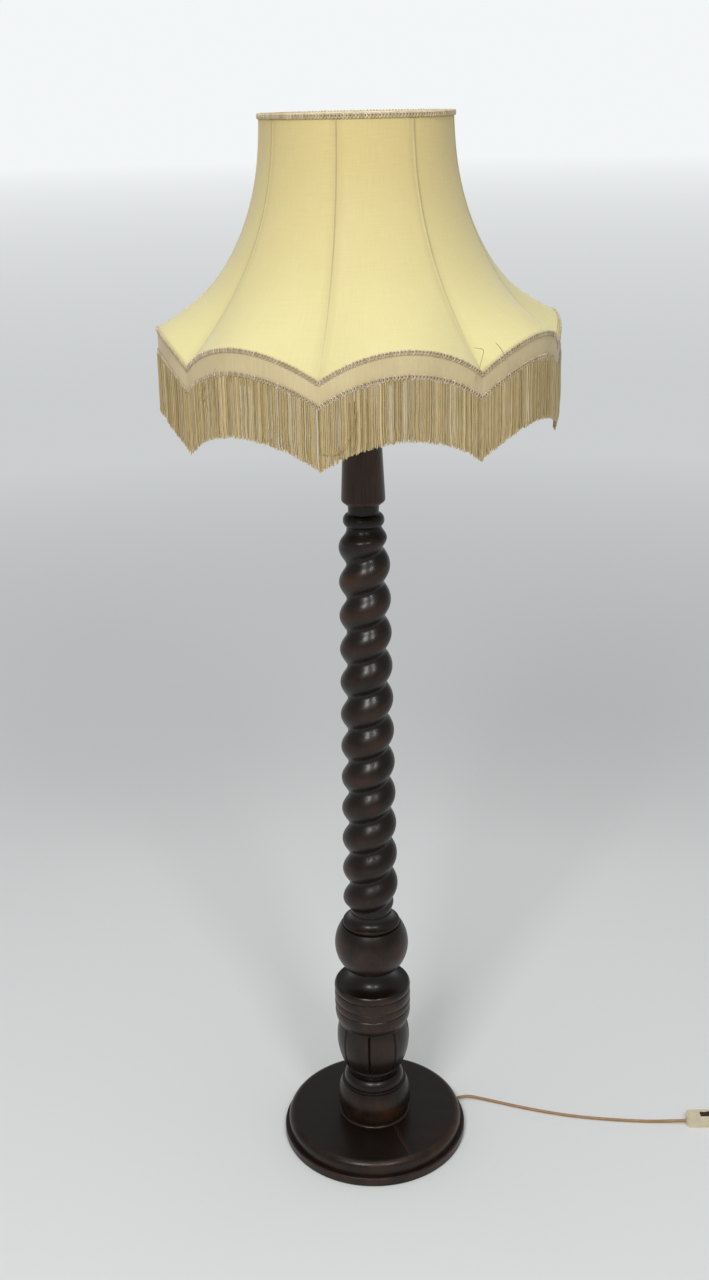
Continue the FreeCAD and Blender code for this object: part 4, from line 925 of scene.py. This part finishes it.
class Bulb(bpy.types.Operator):
    """Clear bulb with its pressed cap, glass stem and filament"""
    bl_idname = "lamp.bulb"
    bl_label = "Bulb"

    def execute(self, context):
        dress(metal_finish("cap_aluminium", (0.74, 0.74, 0.73), (0.52, 0.51, 0.49), 0.30), "bulb_cap")
        glass = glass_finish("lamp_glass")
        dress(glass, "bulb_glass")
        verts = []
        for angle in (2 * pi * i / STEM_SIDES for i in range(STEM_SIDES)):
            for radius, rise in reversed(STEM_PROFILE):
                height = CAP_TOP + (rise + STEM_CLEARANCE) * MM
                verts.append((radius * MM * cos(angle), radius * MM * sin(angle), height))
        faces = ring_faces(STEM_SIDES, len(STEM_PROFILE))
        weld(stand_up("bulb_stem", verts, faces, glass, "bulb"), 1e-6)
        wire = metal_finish("filament_wire", (0.45, 0.44, 0.42), (0.25, 0.24, 0.23), 0.35)
        tips = [Vector((FILAMENT_RADIUS * cos(a), FILAMENT_RADIUS * sin(a), FILAMENT_HEIGHT))
                for a in (0.0, 2 * pi / 3, 4 * pi / 3)]
        root = UP * FILAMENT_ROOT
        paths = [[root, (root + tip) * 0.5 - UP * FILAMENT_SAG, tip] for tip in tips]
        zigzag = []
        for first, second in zip(tips, tips[1:]):
            for k in range(FILAMENT_STEPS + 1):
                side = FILAMENT_ZIGZAG if k % 2 else -FILAMENT_ZIGZAG
                zigzag.append(first + (second - first) * k / FILAMENT_STEPS + UP * side)
        paths.append(zigzag)
        raised = [[point * MM + UP * CAP_TOP for point in path] for path in paths]
        wires = wire_mesh("bulb_filament", raised, FILAMENT_WIRE)
        mesh_piece("bulb_filament", wires, "bulb", wire)
        return {"FINISHED"}


class ShadeCloth(bpy.types.Operator):
    """Eight cloth panels stretched between the seams, and the plain collar band below them"""
    bl_idname = "lamp.shade_cloth"
    bl_label = "Shade cloth"

    def execute(self, context):
        settings = context.scene.lamp_shade
        columns = shade_columns()
        verts, uvs, seam_distance = [], [], []
        for turn, angle in columns:
            share = share_of(turn)
            outline = [(a[0] + (b[0] - a[0]) * share, a[1] + (b[1] - a[1]) * share)
                       for a, b in zip(SEAM_OUTLINE, PANEL_OUTLINE)]
            for row, (radius, drop) in enumerate(natural_spline(outline, PANEL_ROWS - 1)):
                away = (1 - abs(turn)) * HALF_PANEL * radius
                ridge = SEAM_RIDGE * exp(-(away / SEAM_RIDGE_WIDTH) ** 2)
                dip = SEAM_DIP * exp(-((away - SEAM_DIP_PLACE) / SEAM_DIP_WIDTH) ** 2)
                hem_fade = min(1.0, (PANEL_ROWS - 1 - row) / HEM_FADE_ROWS)
                radius += (ridge - dip) * hem_fade
                verts.append((radius * cos(angle), radius * sin(angle), SHADE_TOP - drop))
                uvs.append((angle * CLOTH_ROUND, drop * CLOTH_DOWN))
                seam_distance.append(away)
        cover = stand_up("shade_panels", verts, ring_faces(len(columns), PANEL_ROWS),
                         cloth_finish("panel_cloth", settings), "shade", uvs)
        layer = cover.data.attributes.new("seam_distance", "FLOAT", "POINT")
        layer.data.foreach_set("value", seam_distance)
        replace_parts(stiffen(cover, settings.thickness), "shade_cover")

        verts, uvs = [], []
        for turn, angle in columns:
            for share in (row / (COLLAR_ROWS - 1) for row in range(COLLAR_ROWS)):
                drop = (COLLAR_HEIGHT + COLLAR_LAP) * share - COLLAR_LAP
                out = COLLAR_BOW * sin(pi * share) - COLLAR_INSET
                verts.append(tuple(hem_point(turn, angle, out, drop)))
                uvs.append((angle * COLLAR_ROUND, drop))
        band = stand_up("collar_cloth", verts, ring_faces(len(columns), COLLAR_ROWS),
                        collar_finish("collar_cloth", settings), "shade", uvs)
        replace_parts(stiffen(band, settings.thickness), "collar_band")
        return {"FINISHED"}


class BraidAndFringe(bpy.types.Operator):
    """Gimp braid on the top and on both edges of the collar, hanging fringe and a few loose threads"""
    bl_idname = "lamp.braid_and_fringe"
    bl_label = "Braid and fringe"

    def execute(self, context):
        settings = context.scene.lamp_trim
        gimp = thread_finish("gimp_yarn", settings.braid, BRAID_BRIGHT)
        yarn = thread_finish("fringe_yarn", settings.thread, FRINGE_BRIGHT)
        tree = braid_tree(gimp)
        sizes = {"Loop pitch": settings.loop_pitch, "Braid height": settings.braid_height}
        top_radius = SEAM_OUTLINE[0][0] * MM + TOP_BRAID_OUT
        ring = [Vector((top_radius * cos(a), top_radius * sin(a), SHADE_TOP - TOP_BRAID_DROP))
                for a in (2 * pi * k / TOP_BRAID_POINTS for k in range(TOP_BRAID_POINTS))]
        paths = {
            "braid_at_top": (path_curve("top_path", ring), "braid_top"),
            "braid_above_collar": (hem_path("upper_path", BRAID_OUT, UPPER_BRAID_DROP), "braid_upper"),
            "braid_above_fringe": (hem_path("lower_path", BRAID_OUT, LOWER_BRAID_DROP), "braid_lower"),
        }
        for name, (path, node) in paths.items():
            braid = mesh_piece(name, grow(path, tree, sizes), "shade", gimp)
            bpy.data.objects.remove(path)
            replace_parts(braid, node)

        tree = fringe_tree(yarn)
        for name, rows in FRINGE_ROWS.items():
            threads = bmesh.new()
            for seed, offset in rows:
                path = hem_path("fringe_path", offset, FRINGE_DROP)
                values = {"Thread spacing": settings.thread_gap, "Thread radius": settings.thread_radius,
                          "Fringe length": settings.fringe_length, "Sway": THREAD_SWAY, "Seed": seed}
                threads.from_mesh(grow(path, tree, values))
                bpy.data.objects.remove(path)
            mesh = bpy.data.meshes.new(name)
            threads.to_mesh(mesh)
            threads.free()
            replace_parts(mesh_piece(name, mesh, "shade", yarn), "fringe")
        routes = [[thread_point(*point) for point in route] for route in LOOSE_THREADS]
        threads = wire_mesh("loose_threads", routes, LOOSE_RADIUS, smooth=True)
        mesh_piece("loose_threads", threads, "shade", yarn)
        return {"FINISHED"}


class Lead(bpy.types.Operator):
    """Lead on the floor with its in-line switch, the put-away coil and the plug"""
    bl_idname = "lamp.lead"
    bl_label = "Lead, switch and plug"

    def execute(self, context):
        settings = context.scene.lamp_lead
        sheath = lead_finish("lead_sheath", settings.sheath)
        cream = shell_finish("cream_plastic", settings.shell, 0.34)
        dark = shell_finish("dark_plastic", settings.rocker, 0.26)
        dress(sheath, "inner_flex")
        dress(cream, "switch_base", "switch_cover", "plug_body")
        dress(dark, "switch_rocker")
        first = [Vector(point) * MM for point in ROUTE_TO_SWITCH]
        near = lead_curve("lead_to_switch", first, sheath)
        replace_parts(near, "cord_to_switch")
        second = [Vector(point) * MM for point in ROUTE_TO_COIL + coil_route() + ROUTE_TO_PLUG]
        far = lead_curve("lead_to_plug", second, sheath)
        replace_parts(far, "cord_to_coil", "cord_coil", "cord_to_plug")
        return {"FINISHED"}


class Studio(bpy.types.Operator):
    """Pale floor, soft lights, the surroundings and the camera"""
    bl_idname = "lamp.studio"
    bl_label = "Studio"

    def execute(self, context):
        settings = context.scene.lamp_studio
        lay_floor(settings)
        hang_lights(settings)
        set_camera(context)
        context.scene.view_settings.view_transform = "Standard"
        return {"FINISHED"}


# ---------------------------------------------------------------- pieces built by the operators
def weld(piece, distance):
    """Merge doubles and point the faces outward."""
    mesh = bmesh.new()
    mesh.from_mesh(piece.data)
    bmesh.ops.remove_doubles(mesh, verts=mesh.verts, dist=distance)
    bmesh.ops.recalc_face_normals(mesh, faces=mesh.faces)
    mesh.to_mesh(piece.data)
    mesh.free()


def wire_mesh(name, paths, radius, smooth=False):
    """One mesh of round wires or threads along paths."""
    holder = new_object(name, curve_data(name, paths, smooth, bevel_depth=radius, bevel_resolution=1,
                                         use_fill_caps=True, resolution_u=4))
    bpy.context.view_layer.update()
    mesh = evaluated_mesh(holder, name)
    bpy.data.objects.remove(holder)
    return mesh


def thread_point(degrees_round, height, offset):
    """Point beside the hem, from an angle, a height and a distance outward from the fringe's face."""
    angle = radians(degrees_round)
    turn = ((angle - PANEL_TURN) / (2 * HALF_PANEL)) % 1.0 * 2 - 1
    radius = HEM_RADIUS + HEM_BOW * share_of(turn) + FRINGE_FACE + offset
    return Vector((radius * cos(angle), radius * sin(angle), height))


def coil_route():
    """Control points of the coil, a little outside its turns because the smooth line cuts inside them."""
    points = []
    total = int(COIL_TURNS * COIL_POINTS_PER_TURN)
    inner = COIL_OUTER - COIL_PITCH * COIL_TURNS_IN
    cut = (3 + cos(2 * pi / COIL_POINTS_PER_TURN)) / 4
    for k in range(total + 1):
        turn = k / COIL_POINTS_PER_TURN
        beyond = turn - COIL_TURNS_IN - COIL_REVERSAL
        share = min(1.0, max(0.0, (turn - COIL_TURNS_IN) / COIL_REVERSAL))
        if turn <= COIL_TURNS_IN:
            radius = COIL_OUTER - COIL_PITCH * turn
        elif beyond >= 0:
            radius = inner + COIL_PITCH * beyond
        else:
            radius = inner - COIL_PITCH * COIL_REVERSAL * min(share, 1 - share)
        height = COIL_LOW + COIL_PITCH * share ** 2 * (3 - 2 * share)
        angle = pi / 2 - 2 * pi * turn
        reach = radius / cut
        points.append(COIL_CENTRE + Vector((reach * cos(angle), reach * sin(angle), height)))
    return points


def lead_curve(name, points, material):
    """Round lead along one smooth open line."""
    piece = new_object(name, curve_data(name, [points], True, bevel_depth=LEAD_RADIUS, bevel_resolution=3,
                                        use_fill_caps=True, resolution_u=5))
    piece.data.materials.append(material)
    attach(piece, "stand")
    return piece


def lay_floor(settings):
    """Large pale floor that fades to white far behind the lamp."""
    mesh = bpy.data.meshes.new("studio_floor")
    verts = [(FLOOR_REACH * cos(a), FLOOR_REACH * sin(a), 0.0)
             for a in (2 * pi * k / FLOOR_SIDES for k in range(FLOOR_SIDES))]
    mesh.from_pydata(verts, [], [tuple(range(FLOOR_SIDES))])
    floor = new_object("studio_floor", mesh)
    material = bpy.data.materials.new("pale_floor")
    material.use_nodes = True
    tree = material.node_tree
    tree.nodes.clear()
    radius, _, _, _ = radius_and_height(tree)
    fade = span(tree, radius, *GLOW_RADII)
    far = mixed(tree, span(tree, radius, *WHITE_RADII), NEAR_GREY, FAR_WHITE)
    base = put(tree, "ShaderNodeBsdfDiffuse", {"Color": (*settings.floor, 1.0)})
    glow = put(tree, "ShaderNodeEmission", {"Color": far, "Strength": 1.0})
    rays = put(tree, "ShaderNodeLightPath")
    seen = calc(tree, "MAXIMUM", rays.outputs["Is Camera Ray"],
                calc(tree, "MAXIMUM", rays.outputs["Is Glossy Ray"], rays.outputs["Is Transmission Ray"]))
    share = calc(tree, "MULTIPLY", fade, seen)
    mix = put(tree, "ShaderNodeMixShader", {0: share, 1: base.outputs[0], 2: glow.outputs[0]})
    output = put(tree, "ShaderNodeOutputMaterial", {"Surface": mix.outputs[0]})
    output.is_active_output = True
    mesh.materials.append(material)


def hang_lights(settings):
    """Two soft lights in front and above, one overhead, and an even pale surround."""
    for name, place, aim, size, share in LIGHTS:
        data = bpy.data.lights.new(name, "AREA")
        data.shape = "RECTANGLE"
        data.size, data.size_y = size
        data.energy = settings.key_power * share
        lamp = new_object(name, data)
        lamp.location = place
        lamp.rotation_mode = "QUATERNION"
        lamp.rotation_quaternion = (Vector(aim) - Vector(place)).to_track_quat("-Z", "Y")
    world = bpy.data.worlds.new("studio_surround")
    bpy.context.scene.world = world
    world.use_nodes = True
    tree = world.node_tree
    tree.nodes.clear()
    rays = put(tree, "ShaderNodeLightPath")
    seen = calc(tree, "MAXIMUM", rays.outputs["Is Camera Ray"], rays.outputs["Is Transmission Ray"])
    lit = put(tree, "ShaderNodeBackground", {"Color": SURROUND, "Strength": SURROUND_STRENGTH})
    white = put(tree, "ShaderNodeBackground", {"Color": (*FAR_WHITE, 1.0), "Strength": 1.0})
    mix = put(tree, "ShaderNodeMixShader", {0: seen, 1: lit.outputs[0], 2: white.outputs[0]})
    put(tree, "ShaderNodeOutputWorld", {"Surface": mix.outputs[0]})


def set_camera(context):
    """Camera at the picture's viewing angle."""
    forward = Vector((sin(CAMERA_YAW) * cos(CAMERA_PITCH), cos(CAMERA_YAW) * cos(CAMERA_PITCH),
                      -sin(CAMERA_PITCH)))
    level = Vector((cos(CAMERA_YAW), -sin(CAMERA_YAW), 0.0))
    right = level * cos(CAMERA_ROLL) + level.cross(forward) * sin(CAMERA_ROLL)
    over = right.cross(forward)
    data = bpy.data.cameras.new("camera")
    data.sensor_fit = "AUTO"
    data.sensor_width = SENSOR_WIDTH
    data.lens = SENSOR_WIDTH * FOCAL_PIXELS / PICTURE_PIXELS
    camera = new_object("camera", data)
    columns = (right, over, -forward, CAMERA_PLACE)
    rows = [[column[row] for column in columns] for row in range(3)]
    camera.matrix_world = Matrix(rows + [[0, 0, 0, 1]])
    context.scene.camera = camera


# ---------------------------------------------------------------- panel and registration
GROUPS = {
    "lamp_wood": WoodSettings,
    "lamp_shade": ShadeSettings,
    "lamp_trim": TrimSettings,
    "lamp_lead": LeadSettings,
    "lamp_studio": StudioSettings,
}
OPERATORS = (Studio, WoodenStandard, Fittings, Bulb, BraidAndFringe, ShadeCloth, Lead)


class LampPanel(bpy.types.Panel):
    """Sizes, colours and steps of the floor lamp"""
    bl_idname = "VIEW3D_PT_floor_lamp"
    bl_label = "Floor lamp"
    bl_space_type = "VIEW_3D"
    bl_region_type = "UI"
    bl_category = "Floor lamp"

    def draw(self, context):
        for name, group in GROUPS.items():
            box = self.layout.box()
            box.label(text=group.__doc__)
            for field in group.__annotations__:
                box.prop(getattr(context.scene, name), field)
        for operator in OPERATORS:
            self.layout.operator(operator.bl_idname)


def register():
    """Register the settings, the operators and the panel."""
    for group in GROUPS.values():
        bpy.utils.register_class(group)
    for name, group in GROUPS.items():
        setattr(bpy.types.Scene, name, bpy.props.PointerProperty(type=group))
    for operator in OPERATORS:
        bpy.utils.register_class(operator)
    bpy.utils.register_class(LampPanel)


def unregister():
    """Take back what register did, in the opposite order."""
    bpy.utils.unregister_class(LampPanel)
    for operator in reversed(OPERATORS):
        bpy.utils.unregister_class(operator)
    for name, group in GROUPS.items():
        delattr(bpy.types.Scene, name)
        bpy.utils.unregister_class(group)


def main():
    """Dress the whole lamp."""
    register()
    bpy.ops.lamp.studio()
    bpy.ops.lamp.wooden_standard()
    bpy.ops.lamp.fittings()
    bpy.ops.lamp.bulb()
    bpy.ops.lamp.braid_and_fringe()
    bpy.ops.lamp.shade_cloth()
    bpy.ops.lamp.lead()


if __name__ == "__main__":
    main()
